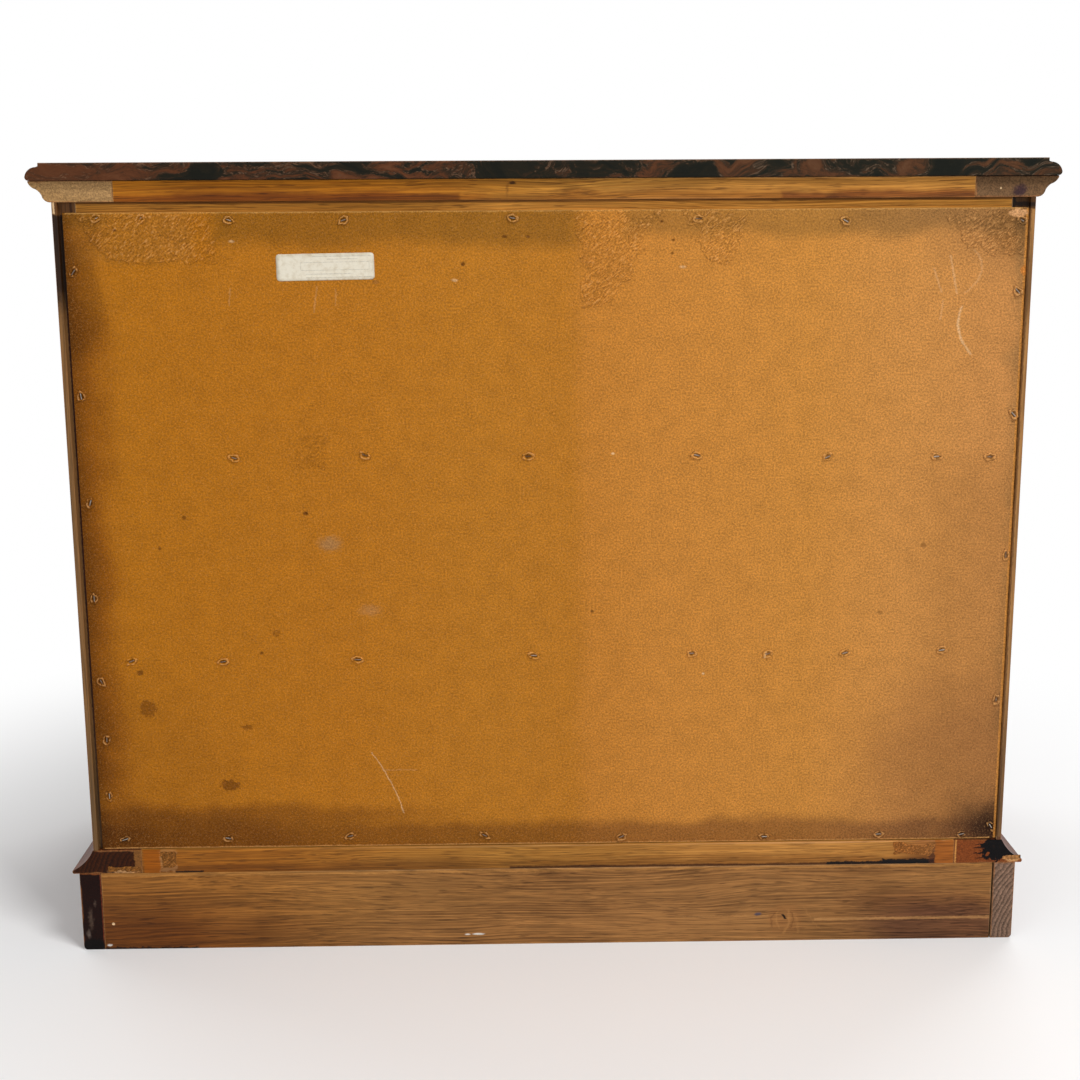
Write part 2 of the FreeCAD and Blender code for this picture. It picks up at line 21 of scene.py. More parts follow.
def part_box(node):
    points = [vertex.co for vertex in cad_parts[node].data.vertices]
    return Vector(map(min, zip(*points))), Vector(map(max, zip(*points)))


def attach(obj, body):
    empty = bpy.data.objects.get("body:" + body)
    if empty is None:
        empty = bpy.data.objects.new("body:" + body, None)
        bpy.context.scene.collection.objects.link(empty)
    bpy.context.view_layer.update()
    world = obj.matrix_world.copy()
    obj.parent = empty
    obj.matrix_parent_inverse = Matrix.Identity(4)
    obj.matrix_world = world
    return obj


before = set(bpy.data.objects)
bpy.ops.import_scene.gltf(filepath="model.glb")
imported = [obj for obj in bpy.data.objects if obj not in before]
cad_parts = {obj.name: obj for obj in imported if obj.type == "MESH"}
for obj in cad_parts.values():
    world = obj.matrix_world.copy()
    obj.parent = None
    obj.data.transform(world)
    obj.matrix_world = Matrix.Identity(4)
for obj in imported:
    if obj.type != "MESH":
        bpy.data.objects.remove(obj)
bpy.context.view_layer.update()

MM = 0.001
HALF = (0.5, 0.5, 0.5)
# A board's doubles are merged, its flat joins dissolved and its sharp edges eased.
WELD = 0.01 * MM
FLAT_BELOW = math.radians(0.5)
EASED_ABOVE = math.radians(40.0)
# Waves in a millimetre of the noise that frays marks and of the one that sways veils.
FRAYS = 0.22
SWAYS = 0.014
LOG = logging.getLogger("chest")

Rgb = tuple[float, float, float]


def chip(red: float, green: float, blue: float) -> Rgb:
    """A colour from its display values, 0 to 255: each is divided by 255 and taken to power 2.2."""
    return tuple((value / 255.0) ** 2.2 for value in (red, green, blue))


class Grain(Enum):
    """The axis that a board's grain runs along."""

    X = 0
    Y = 1
    Z = 2


class Shape(Enum):
    """The outline of a mark on the back."""

    OVAL = "oval"
    BOX = "box"
    STROKE = "stroke"


class Socket:
    """An output socket of a node tree that is being written."""

    def __init__(self, nodes: "Nodes", socket: bpy.types.NodeSocket) -> None:
        """Keeps the tree's writer and the socket."""
        self.nodes = nodes
        self.socket = socket


def operator(way: str, operation: str, swapped: bool = False) -> Callable[..., Socket]:
    """A method that puts a socket and the other terms through one node.

    Args:
        way: "math" for a Math node or "vector" for a Vector Math node.
        operation: What the node does.
        swapped: Whether the other term comes first.

    Returns:
        The method.
    """

    def method(self: Socket, *others: object) -> Socket:
        """Adds the node."""
        terms = (*others, self) if swapped else (self, *others)
        return getattr(self.nodes, way)(operation, *terms)

    return method


class Number(Socket):
    """A value that varies over a surface: its operators add Math nodes."""

    __add__ = __radd__ = operator("math", "ADD")
    __sub__ = operator("math", "SUBTRACT")
    __rsub__ = operator("math", "SUBTRACT", swapped=True)
    __mul__ = __rmul__ = operator("math", "MULTIPLY")
    __truediv__ = operator("math", "DIVIDE")
    __pow__ = operator("math", "POWER")
    __abs__ = operator("math", "ABSOLUTE")
    least = operator("math", "MINIMUM")
    most = operator("math", "MAXIMUM")
    fraction = operator("math", "FRACT")

    def ramp(self, start: float, end: float) -> "Number":
        """A smooth rise from 0 at start to 1 at end, which may be the lower of the two."""
        return self.nodes.node(
            "ShaderNodeMapRange",
            {"interpolation_type": "SMOOTHSTEP"},
            {"Value": self, "From Min": start, "From Max": end},
        )


class Triple(Socket):
    """A place or a colour that varies over a surface: its operators add Vector Math nodes."""

    __add__ = operator("vector", "ADD")
    __sub__ = operator("vector", "SUBTRACT")
    __abs__ = operator("vector", "ABSOLUTE")

    def __mul__(self, other: "Triple | Number | Rgb | float") -> "Triple":
        """Product with another triple, part by part, or with one number."""
        if isinstance(other, (Number, float, int)):
            return self.nodes.node(
                "ShaderNodeVectorMath", {"operation": "SCALE"}, {0: self, "Scale": other}
            )
        return self.nodes.vector("MULTIPLY", self, other)

    __rmul__ = __mul__

    def length(self) -> Number:
        """How long the triple is."""
        return self.nodes.vector("LENGTH", self, out="Value")

    def part(self, axis: int) -> Number:
        """One of its three parts."""
        return self.nodes.node("ShaderNodeSeparateXYZ", None, {0: self}, out=axis)

    def blend(self, other: "Triple | Rgb", share: Number | float) -> "Triple":
        """This colour with a share of another."""
        return self.nodes.mix(self, other, share)


class Nodes:
    """Writes a node tree as expressions."""

    def __init__(self, tree: bpy.types.NodeTree) -> None:
        """Empties the tree."""
        self.tree = tree
        tree.nodes.clear()

    def node(
        self,
        kind: str,
        settings: dict[str, object] | None = None,
        sockets: dict[int | str, object] | None = None,
        out: int | str = 0,
    ) -> Number | Triple | None:
        """Adds one node.

        Args:
            kind: The node's type.
            settings: Its properties, which are set first; stops are a colour ramp's.
            sockets: Values or links for its inputs.
            out: Which output is wanted.

        Returns:
            That output, or None for a node without one.
        """
        made = self.tree.nodes.new(kind)
        for name, value in (settings or {}).items():
            if name == "stops":
                self._set_stops(made.color_ramp, value)
            else:
                setattr(made, name, value)
        for key, value in (sockets or {}).items():
            socket = made.inputs[key]
            if isinstance(value, Socket):
                self.tree.links.new(value.socket, socket)
            elif socket.type == "RGBA":
                socket.default_value = (*value, 1.0)
            else:
                socket.default_value = value
        if not made.outputs:
            return None
        wanted = made.outputs[out]
        wrapper = Number if wanted.type == "VALUE" else Triple
        return wrapper(self, wanted)

    @staticmethod
    def _set_stops(ramp: bpy.types.ColorRamp, stops: Sequence[tuple[float, Rgb]]) -> None:
        """Gives a colour ramp its stops.

        Args:
            ramp: The ramp, which starts with two.
            stops: Place from 0 to 1 and colour of each.
        """
        while len(ramp.elements) < len(stops):
            ramp.elements.new(0.5)
        for element, (place, colour) in zip(ramp.elements, stops):
            element.position = place
            element.color = (*colour, 1.0)

    def math(self, operation: str, *terms: Number | float) -> Number:
        """A Math node on the terms."""
        return self.node("ShaderNodeMath", {"operation": operation}, dict(enumerate(terms)))

    def vector(
        self, operation: str, *terms: Triple | Rgb, out: int | str = 0
    ) -> Triple | Number:
        """A Vector Math node on the terms."""
        return self.node(
            "ShaderNodeVectorMath", {"operation": operation}, dict(enumerate(terms)), out
        )

    def mix(
        self, first: Triple | Rgb, second: Triple | Rgb, share: Number | float, how: str = "MIX"
    ) -> Triple:
        """The first colour with a share of the second, laid on it or multiplied into it."""
        settings = {"data_type": "RGBA", "blend_type": how}
        return self.node("ShaderNodeMix", settings, {0: share, 6: first, 7: second}, out=2)

    def join(self, x: Number | float, y: Number | float, z: Number | float) -> Triple:
        """Three numbers as one triple."""
        return self.node("ShaderNodeCombineXYZ", None, {0: x, 1: y, 2: z})

    def stray(self, at: Triple, scale: float, detail: float, rough: float) -> Triple:
        """Noise in three parts, each half a unit to either side of zero."""
        return self.noise(at, scale, detail, rough, out="Color") - HALF

    def noise(
        self,
        at: Triple,
        scale: float,
        detail: float = 2.0,
        rough: float = 0.5,
        swirl: float = 0.0,
        out: str = "Fac",
    ) -> Number | Triple:
        """Cloudy noise about 0.5, with scale cells to the unit, fine detail and a swirl."""
        sockets = {"Vector": at, "Scale": scale, "Detail": detail, "Roughness": rough}
        return self.node("ShaderNodeTexNoise", None, {**sockets, "Distortion": swirl}, out)


class Surface(Nodes):
    """A material while it is being written, in Object coordinates and metres."""

    def __init__(self, name: str) -> None:
        """Starts an empty material of that name."""
        self.material = bpy.data.materials.new(name)
        self.material.use_nodes = True
        super().__init__(self.material.node_tree)
        self.place = self.node("ShaderNodeTexCoord", out="Object")

    def back_place(self) -> Triple:
        """Place on the back as (across, up, 0) in millimetres, as the photograph shows it."""
        flat = self.place * (-1.0 / MM, 0.0, 1.0 / MM)
        return self.join(flat.part(0), flat.part(2), 0.0)

    def finish(
        self,
        colour: Triple,
        rough: Number | float,
        height: Number,
        sockets: dict[str, object] | None = None,
    ) -> bpy.types.Material:
        """Closes the material with one shader.

        Args:
            colour: Its base colour.
            rough: Its roughness.
            height: Relief in millimetres, which becomes bump.
            sockets: Other values for the shader's own sockets.

        Returns:
            The material.
        """
        bump = self.node("ShaderNodeBump", None, {"Distance": MM, "Height": height}, "Normal")
        shader = self.node(
            "ShaderNodeBsdfPrincipled",
            None,
            {"Base Color": colour, "Roughness": rough, "Normal": bump, **(sockets or {})},
        )
        self.node("ShaderNodeOutputMaterial", None, {"Surface": shader})
        return self.material


@dataclass(frozen=True)
class Mark:
    """A patch, spot or stroke of another colour on the back, in millimetres.

    Wide and high are half its sizes, soft is the width of its faded edge, and ragged how far
    noise frays it. A stroke is a curved line: its across is that of its middle plus lean times
    the height above it, plus bend times that height squared. A veil's colour multiplies what
    lies beneath it.
    """

    across: float
    up: float
    wide: float
    high: float
    colour: Rgb
    strength: float = 1.0
    soft: float = 2.0
    ragged: float = 0.0
    lean: float = 0.0
    bend: float = 0.0
    shape: Shape = Shape.OVAL
    veil: bool = False

    def cover(self, surface: Surface, at: Triple, rag: Triple) -> Number:
        """How much of the surface the mark covers, from 0 to 1.

        An oval's distance is the length of the place over its half sizes, less one, times the
        smaller half size. A box's is the larger of its two distances past a side. A stroke's is
        its sideways distance from its line, less half its width, with its ends faded.

        Args:
            surface: The material that it goes on; not used.
            at: Place on the back in millimetres.
            rag: Noise about zero that frays its outline.

        Returns:
            The cover.
        """
        if self.ragged:
            at = at + rag * self.ragged
        from_middle = at - (self.across, self.up, 0.0)
        if self.shape is Shape.OVAL:
            sizes = (1.0 / self.wide, 1.0 / self.high, 0.0)
            away = ((from_middle * sizes).length() - 1.0) * min(self.wide, self.high)
        elif self.shape is Shape.BOX:
            past = abs(from_middle) - (self.wide, self.high, 0.0)
            away = past.part(0).most(past.part(1))
        else:
            above = from_middle.part(1)
            line = above * self.lean + above * above * self.bend
            beside = abs(from_middle.part(0) - line) - self.wide
            away = beside.most(abs(above) - self.high)
        return away.ramp(self.soft / 2.0, -self.soft / 2.0) * self.strength


# Marks other than a plain oval.
box = partial(Mark, shape=Shape.BOX)
stroke = partial(Mark, shape=Shape.STROKE)
veil = partial(Mark, veil=True)
box_veil = partial(Mark, shape=Shape.BOX, veil=True)


def marked(
    surface: Surface, colour: Triple, marks: Sequence[Mark], within: Number | None = None
) -> Triple:
    """A colour with marks laid over it in order: fine noise frays them, and slow noise sways veils.

    Args:
        surface: The material.
        colour: What lies beneath.
        marks: The marks.
        within: Where they may show, from 0 to 1.

    Returns:
        The colour with the marks.
    """
    at = surface.back_place()
    rag = surface.stray(at, FRAYS, 4.0, 0.65) * 2.0
    sway = surface.stray(at, SWAYS, 4.0, 0.55) * 2.0
    for mark in marks:
        cover = mark.cover(surface, at, sway if mark.veil else rag)
        cover = cover if within is None else cover * within
        colour = surface.mix(colour, mark.colour, cover, "MULTIPLY" if mark.veil else "MIX")
    return colour


@dataclass(frozen=True)
class Board:
    """One solid piece of wood as its shader sees it, in metres.

    The heart is where the middle of the trunk lies from the board's middle, along its two other
    axes. Spread widens its rings, rings is how much they show on its ends, and tone multiplies its
    colour. Where the board is bare, its unstained wood shows: past a limit on one axis, towards
    plus or minus. Marks on its back reach marked_deep into it.
    """

    low: tuple[float, float, float]
    high: tuple[float, float, float]
    grain: Grain
    heart: tuple[float, float] = (0.02, -0.09)
    tone: float = 1.0
    spread: float = 1.0
    rings: float = 0.4
    bare: tuple[int, float, float] | None = None
    marked_deep: float = 2.0 * MM

    @classmethod
    def of(cls, node: str, grain: Grain | None = None, **rest: object) -> "Board":
        """The board of a node.

        Args:
            node: The node's name.
            grain: The axis of its grain, or the node's longest side.
            rest: Its other fields.

        Returns:
            The board, with the node's own box.
        """
        low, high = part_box(node)
        longest = Grain(int(np.argmax(high - low)))
        return cls(tuple(low), tuple(high), grain or longest, **rest)

    def middle(self, axis: int) -> float:
        """Its middle on one axis."""
        return (self.low[axis] + self.high[axis]) / 2.0

    def past(self, surface: Surface) -> Triple:
        """Distances in metres past the nearer face on each axis, which are negative inside."""
        middle = tuple(self.middle(axis) for axis in range(3))
        half = tuple((high - low) / 2.0 for low, high in zip(self.low, self.high))
        return abs(surface.place - middle) - half

    def edge(self, surface: Surface) -> Number:
        """Distance in metres to the nearest edge: the middle one of the three to the faces."""
        inwards = self.past(surface) * -1.0
        x, y, z = (inwards.part(axis) for axis in range(3))
        return x.least(y).most(x.most(y).least(z))

    def end(self, surface: Surface) -> Number:
        """1 on the two end faces, where the grain is cut across."""
        return self.past(surface).part(self.grain.value).ramp(-0.6 * MM, -0.3 * MM)


@dataclass(frozen=True)
class Timber:
    """Wood with its rings all through, so that ends, edges and faces agree.

    Ring is the space between rings, wander how far they stray from round and figure how much
    they show. The pairs are how many waves, streaks, bands and so on lie in a metre across the
    grain and along it. Wear is how far from an edge the stain is rubbed off.
    """

    name: str
    pale: Rgb
    dark: Rgb
    pore: Rgb
    end: Rgb
    worn: Rgb
    raw: Rgb = chip(176, 142, 104)
    ring: float = 2.6 * MM
    wander: float = 0.016
    waves: tuple[float, float] = (11.0, 2.2)
    unevenness: tuple[float, float] = (60.0, 5.0)
    stretches: tuple[float, float] = (45.0, 3.5)
    streaks: tuple[float, float] = (700.0, 9.0)
    bands: tuple[float, float] = (170.0, 4.0)
    fibres: tuple[float, float] = (1100.0, 30.0)
    pores: tuple[float, float] = (800.0, 45.0)
    figure: float = 0.5
    rough: float = 0.5
    gloss: float = 0.2
    coat: float = 0.0
    wear: float = 1.5 * MM

    def dress(
        self, board: Board, suffix: str, marks: Sequence[Mark] = (), cut: Rgb | None = None
    ) -> bpy.types.Material:
        """Makes the material of one board.

        The radius from the heart, bent by slow noise along the grain, over the ring space gives
        each ring's place; its share above the whole number darkens towards the late wood, more
        in some stretches than in others. Streaks, pores and fibres are noise drawn out along the
        bent grain, which turns to dots on an end.

        Args:
            board: The board.
            suffix: What the material's name ends with.
            marks: Marks on its back face.
            cut: The colour of its end grain, where it isn't the timber's own.

        Returns:
            The material.
        """
        surface = Surface(f"{self.name}_{suffix}")
        axis = board.grain.value
        others = [other for other in range(3) if other != axis]
        # Each board reads its noise from a place of its own.
        offset = tuple(7.0 * value + board.tone for value in board.high)

        def drawn_out(place: Triple, across: float, along: float) -> Triple:
            """Place with its own scales across and along the grain."""
            scales = [across] * 3
            scales[axis] = along
            return place * tuple(scales) + offset

        slow = surface.stray(drawn_out(surface.place, *self.waves), 1.0, 2.0, 0.5)
        bent = surface.place + slow * (2.0 * self.wander)
        one, two = (
            bent.part(other) - (board.middle(other) + shift)
            for other, shift in zip(others, board.heart)
        )
        radius = (one * one + two * two) ** 0.5
        uneven = surface.noise(drawn_out(surface.place, *self.unevenness), 1.0, 3.0, 0.6)
        year = (radius / (self.ring * board.spread) + uneven * 1.5).fraction()
        late = year.ramp(0.1, 0.85) * year.ramp(1.0, 0.9)
        stretch = surface.noise(drawn_out(bent, *self.stretches), 1.0, 2.0, 0.5).ramp(0.36, 0.62)
        streak = surface.noise(drawn_out(bent, *self.streaks), 1.0, 3.0, 0.6)
        wide = surface.noise(drawn_out(bent, *self.bands), 1.0, 3.0, 0.6)
        fibre = surface.noise(drawn_out(surface.place, *self.fibres), 1.0, 3.0, 0.6)
        pores = surface.noise(drawn_out(bent, *self.pores), 1.0, 1.0, 0.4).ramp(0.60, 0.72)
        cloud = surface.noise(surface.place, 8.0, 4.0, 0.6)
        face_figure = late * (stretch * self.figure)
        depth = face_figure + (wide - 0.5) * 1.4 + (cloud - 0.5) * 0.9 + 0.24
        colour = surface.mix(self.pale, self.dark, depth.most(0.0).least(1.0))
        colour = colour.blend(self.pore, pores * 0.5)
        raw = surface.mix(self.raw, tuple(0.66 * part for part in self.raw), depth)
        ends = board.end(surface)
        coat = (1.0 - ends) * self.coat
        if board.bare is not None:
            side, limit, way = board.bare
            past = (surface.place.part(side) * way - limit * way).ramp(-0.2 * MM, 0.2 * MM)
            colour = colour.blend(raw, past)
            coat = coat * (1.0 - past)
        sawn = cut or self.end
        rings = surface.mix(sawn, tuple(0.4 * part for part in sawn), late * board.rings)
        rings = rings * (cloud * 0.5 + 0.75)
        colour = colour.blend(rings.blend(self.pore, pores * 0.3), ends)
        chafed = board.edge(surface) + (uneven - 0.5) * (3.0 * self.wear)
        colour = colour.blend(self.worn, chafed.ramp(self.wear, 0.0) * 0.6)
        if marks:
            deep = board.marked_deep
            back = (surface.place.part(1) - board.high[1]).ramp(-deep, 1.0 * MM - deep)
            inside = board.past(surface).part(0).ramp(-0.3 * MM, -0.6 * MM)
            colour = marked(surface, colour, marks, back * inside)
        colour = colour * (fibre * 0.6 + streak.ramp(0.7, 0.3) * 0.6 + 0.4) * board.tone
        relief = late * 0.03 + (fibre - 0.5) * 0.16 + (streak - 0.5) * 0.2 - pores * 0.08
        rough = ((cloud - 0.5) * 0.25 + ends * 0.35 + self.rough).least(1.0)
        sockets = {
            "Coat Weight": coat,
            "Coat Roughness": 0.22,
            "Specular IOR Level": self.gloss,
        }
        return surface.finish(colour, rough, relief, sockets)


@dataclass(frozen=True)
class Hardboard:
    """Pressed wood fibre: a tone that drifts across the back, with fibres, flecks and specks.

    Tones are its colours at places across in millimetres, and they hold all the way up. Drift,
    clouds, grains and specks are how many lie in a millimetre, and so are strands, along
    themselves and across.
    """

    name: str
    tones: tuple[tuple[float, Rgb], ...]
    fleck: Rgb
    speck: Rgb
    seam_stray: float = 34.0
    fleck_turns: tuple[float, ...] = (0.3, 1.25, 2.3)
    drift: float = 0.012
    clouds: float = 0.05
    grains: float = 0.55
    specks: float = 0.33
    strands: tuple[float, float] = (0.34, 1.3)
    rough: float = 0.86
    gloss: float = 0.12

    @cache
    def dress(
        self, marks: Sequence[Mark] = (), torn_from: float | None = None, hollow_shade: float = 0.8
    ) -> bpy.types.Material:
        """Makes the material.

        The tone is read from the ramp at the place across, moved by slow noise. Fibres are noise
        squeezed along a few directions in the board, cut off high. Fine noise makes the grain.
        Where fibre is torn up, painted shade darkens its hollows and its crests are paler, partly
        the pale of fresh fibre and partly painted highlight, both by their height over the face.

        Args:
            marks: What lies on it.
            torn_from: The face's place on Y in metres, on fibre that is torn up from it.
            hollow_shade: How light the painted shade leaves the hollows of torn fibre, next to the
                face.

        Returns:
            The material.
        """
        surface = Surface(self.name if torn_from is None else f"{self.name}_torn_{hollow_shade:g}")
        at = surface.back_place()
        slow = surface.noise(at, self.drift, 4.0, 0.62)
        start, end = self.tones[0][0], self.tones[-1][0]
        across = at.part(0) + (slow - 0.5) * self.seam_stray
        share = (across - start) / (end - start)
        stops = [((place - start) / (end - start), tone) for place, tone in self.tones]
        colour = surface.node("ShaderNodeValToRGB", {"stops": stops}, {0: share})
        colour = marked(surface, colour, marks)
        fine = surface.noise(at, self.grains, 3.0, 0.8).ramp(0.3, 0.7)
        cloud = surface.noise(at, self.clouds, 4.0, 0.6)
        flecks = None
        for turn in self.fleck_turns:
            turned = surface.node(
                "ShaderNodeVectorRotate", {"rotation_type": "Z_AXIS"}, {0: at, "Angle": turn}
            )
            strand = surface.noise(turned * (*self.strands, 1.0), 1.0, 1.0, 0.5).ramp(0.62, 0.74)
            flecks = strand if flecks is None else flecks.most(strand)
        specks = surface.noise(at, self.specks, 2.0, 0.5).ramp(0.29, 0.22)
        colour = colour * (fine * 0.7 + cloud * 0.4 + 0.45)
        colour = colour.blend(self.fleck, flecks * 0.22).blend(self.speck, specks * 0.55)
        relief = fine * 0.3 + flecks * 0.12 - specks * 0.2
        # Painted shade darkens torn fibre the lower it lies; its crests take the pale of fresh
        # fibre, partly as painted highlight.
        if torn_from is not None:
            out = (surface.place.part(1) - torn_from) / MM + (fine - 0.5) * 0.3
            colour = colour * (out.ramp(-0.1, 0.7) * (1.05 - hollow_shade) + hollow_shade)
            colour = colour.blend(self.fleck, out.ramp(0.6, 1.6) * 0.45)
        rough = (fine - 0.5) * 0.2 + self.rough
        return surface.finish(colour, rough, relief, {"Specular IOR Level": self.gloss})


@dataclass(frozen=True)
class Stone:
    """Polished stone whose dark and russet parts swirl through each other.

    Russet and grey side are where on X these tones start and are full. Push is how many waves
    push the figure about in a metre, and drawn how it is squeezed on each axis. The back edge
    is sawn, so it is rougher and duller.
    """

    name: str
    tones: tuple[tuple[float, Rgb], ...]
    vein: Rgb
    russet_side: tuple[float, float] = (0.30, 0.46)
    grey_side: tuple[float, float] = (0.15, -0.35)
    greyer: Rgb = (0.9, 1.08, 1.22)
    push: float = 9.0
    pushed: float = 0.12
    drawn: Rgb = (0.7, 0.9, 1.6)
    scale: float = 15.0
    swirl: float = 1.3
    polish: float = 0.12

    def dress(self, sawn_from: float, arris: float) -> bpy.types.Material:
        """Makes the material.

        The place is pushed about by noise, and noise that swirls at the pushed place is read
        from the ramp of tones. It drifts towards the russet tones at one side and greyer ones
        at the other. Where it passes its middle, a thin vein shows.

        Args:
            sawn_from: Where the sawn back face starts on Y, in metres.
            arris: Height of the slab's top edge, along which the sawn face is paler, in metres.

        Returns:
            The material.
        """
        surface = Surface(self.name)
        push = surface.stray(surface.place, self.push, 3.0, 0.6)
        place = (surface.place + push * self.pushed) * self.drawn
        body = surface.noise(place, self.scale, 6.0, 0.66, self.swirl)
        fine = surface.noise(place, self.scale * 11.0, 4.0, 0.7, 1.0)
        russet = surface.place.part(0).ramp(*self.russet_side)
        share = body + (fine - 0.5) * 0.22 - 0.03
        share = share + russet * (share * -0.55 + 0.33)
        colour = surface.node("ShaderNodeValToRGB", {"stops": self.tones}, {0: share})
        vein = abs(body - 0.52).ramp(0.014, 0.002) * fine.ramp(0.45, 0.6)
        colour = colour.blend(self.vein, vein * 0.3)
        grey = surface.place.part(0).ramp(*self.grey_side)
        colour = colour.blend(colour * self.greyer, grey)
        sawn = (surface.place.part(1) - sawn_from).ramp(-1.0 * MM, 0.0)
        scratch = surface.noise(surface.place * (30.0, 400.0, 900.0), 1.0, 3.0, 0.6)
        pale_top_edge = (surface.place.part(2) - arris + (fine - 0.5) * 2.0 * MM).ramp(-1.2 * MM, 0.0)
        colour = colour.blend(self.vein, pale_top_edge * sawn * 0.4)
        rough = sawn * ((scratch - 0.5) * 0.2 + 0.7) + self.polish
        relief = sawn * (scratch + fine) * 0.2
        return surface.finish(colour, rough, relief, {"Specular IOR Level": 0.2})


@dataclass(frozen=True)
class Metal:
    """Metal with tarnish in clouds, rubbed bright where hands or tools pass."""

    name: str
    bright: Rgb
    tarnish: Rgb
    share: float = 0.5
    rough: float = 0.28
    grain: float = 260.0

    @cache
    def dress(self) -> bpy.types.Material:
        """Makes the material: cloudy noise mixes the tarnish in and roughens it.

        Returns:
            The material.
        """
        surface = Surface(self.name)
        cloud = surface.noise(surface.place, self.grain * 0.25, 4.0, 0.65)
        fine = surface.noise(surface.place, self.grain * 6.0, 3.0, 0.7)
        dull = (cloud + (fine - 0.5) * 0.3).ramp(0.30, 0.74) * (2.0 * self.share)
        colour = surface.mix(self.bright, self.tarnish, dull)
        rough = dull * 0.25 + (fine - 0.5) * 0.15 + self.rough
        relief = (fine - 0.5) * 0.03 + dull * 0.02
        return surface.finish(colour, rough, relief, {"Metallic": 1.0})


@dataclass(frozen=True)
class Paper:
    """An old paper label: foxed, thumbed at its rim, with empty ruled lines."""

    name: str
    white: Rgb
    foxed: Rgb
    ink: Rgb

    def dress(self, label: "Label") -> bpy.types.Material:
        """Makes the material.

        Rules are strips about their own height, and the box is where the larger of two distances
        past its half sizes is near zero. Both are thinned by noise, as faint print is.

        Args:
            label: The label, for its place and size.

        Returns:
            The material.
        """
        surface = Surface(self.name)
        at = surface.node(
            "ShaderNodeVectorRotate",
            {"rotation_type": "Z_AXIS"},
            {
                0: surface.back_place(),
                "Center": (label.across, label.up, 0.0),
                "Angle": -math.radians(label.tilt),
            },
        ) - (label.across, label.up, 0.0)
        cloud = surface.noise(at, 0.16, 4.0, 0.65)
        fibre = surface.noise(at * (0.5, 1.6, 1.0), 1.0, 3.0, 0.7)
        past = abs(at) - (label.wide / 2.0, label.high / 2.0, 0.0)
        rim = past.part(0).most(past.part(1)).ramp(-4.0, 0.5)
        stain = (cloud.ramp(0.42, 0.75) * 0.5 + rim * cloud * 0.9).least(1.0)
        colour = surface.mix(self.white, self.foxed, stain) * (fibre * 0.25 + 0.87)
        frame_past = abs(at - label.field_middle) - label.field_half
        ruled = abs(frame_past.part(0).most(frame_past.part(1))).ramp(0.28, 0.12)
        for height, start, end in label.rules:
            strip = abs(at.part(1) - height).ramp(0.5, 0.3)
            span = at.part(0).ramp(start - 0.5, start) * at.part(0).ramp(end + 0.5, end)
            ruled = ruled.most(strip * span * 0.75)
        colour = colour.blend(self.ink, ruled * fibre.ramp(0.35, 0.6) * 0.55)
        return surface.finish(colour, cloud * 0.2 + 0.6, fibre * 0.05)


SHOW_WOOD = Timber(
    "stained_hardwood",
    pale=chip(112, 62, 34),
    dark=chip(58, 29, 17),
    pore=chip(30, 15, 9),
    end=chip(70, 46, 34),
    worn=chip(150, 98, 58),
    rough=0.42,
    gloss=0.18,
    coat=0.1,
)
BACK_WOOD = Timber(
    "back_rail_wood",
    pale=chip(184, 130, 56),
    dark=chip(122, 76, 23),
    pore=chip(70, 38, 14),
    end=chip(120, 84, 50),
    worn=chip(196, 146, 84),
    figure=0.35,
    streaks=(900.0, 5.0),
    bands=(520.0, 2.2),
    rough=0.66,
)
PLINTH_WOOD = Timber(
    "plinth_back_wood",
    pale=chip(156, 108, 60),
    dark=chip(88, 56, 29),
    pore=chip(54, 32, 15),
    end=chip(92, 66, 44),
    worn=chip(170, 128, 84),
    ring=3.6 * MM,
    wander=0.026,
    streaks=(760.0, 13.0),
    bands=(380.0, 4.5),
    figure=0.4,
    rough=0.68,
)
DRAWER_WOOD = Timber(
    "drawer_wood",
    pale=chip(208, 176, 128),
    dark=chip(172, 134, 86),
    pore=chip(128, 94, 58),
    end=chip(160, 124, 82),
    worn=chip(222, 196, 154),
    raw=chip(200, 166, 120),
    figure=0.45,
    rough=0.6,
)
HARDBOARD_TONES = (
    (-450.0, chip(162, 99, 25)),
    (-400.0, chip(171, 107, 27)),
    (-200.0, chip(175, 110, 32)),
    (-60.0, chip(178, 115, 38)),
    (22.0, chip(178, 115, 40)),
    (40.0, chip(186, 121, 49)),
    (110.0, chip(192, 127, 56)),
    (250.0, chip(194, 131, 60)),
    (350.0, chip(195, 134, 70)),
    (450.0, chip(190, 131, 74)),
)
BACK_BOARD = Hardboard(
    "back_hardboard", HARDBOARD_TONES, fleck=chip(226, 166, 102), speck=chip(104, 60, 18)
)
DUST_BOARD = Hardboard(
    "dust_hardboard",
    ((-450.0, chip(126, 84, 50)), (450.0, chip(134, 92, 56))),
    fleck=chip(160, 118, 78),
    speck=chip(74, 46, 26),
)
PLY = Hardboard(
    "drawer_ply",
    ((-450.0, chip(206, 172, 124)), (450.0, chip(214, 182, 134))),
    fleck=chip(226, 200, 158),
    speck=chip(150, 112, 70),
    fleck_turns=(0.0, 0.05, 3.1),
)
SPLINTERS = Hardboard(
    "splintered_wood",
    ((-450.0, chip(142, 92, 44)), (330.0, chip(166, 100, 44)), (470.0, chip(184, 128, 78))),
    fleck=chip(216, 166, 108),
    speck=chip(50, 26, 14),
    fleck_turns=(0.1, 3.05),
)
PAPER = Paper("label_paper", chip(221, 213, 194), chip(186, 168, 134), chip(120, 108, 96))
WIRE = Metal("staple_wire", (0.50, 0.46, 0.41), (0.16, 0.09, 0.05), share=0.55, rough=0.36)
SCREW_STEEL = Metal("screw_steel", (0.60, 0.56, 0.48), (0.22, 0.17, 0.11), share=0.4)
BRASS = Metal("pull_brass", (0.72, 0.50, 0.22), (0.20, 0.12, 0.045), share=0.45, rough=0.24)
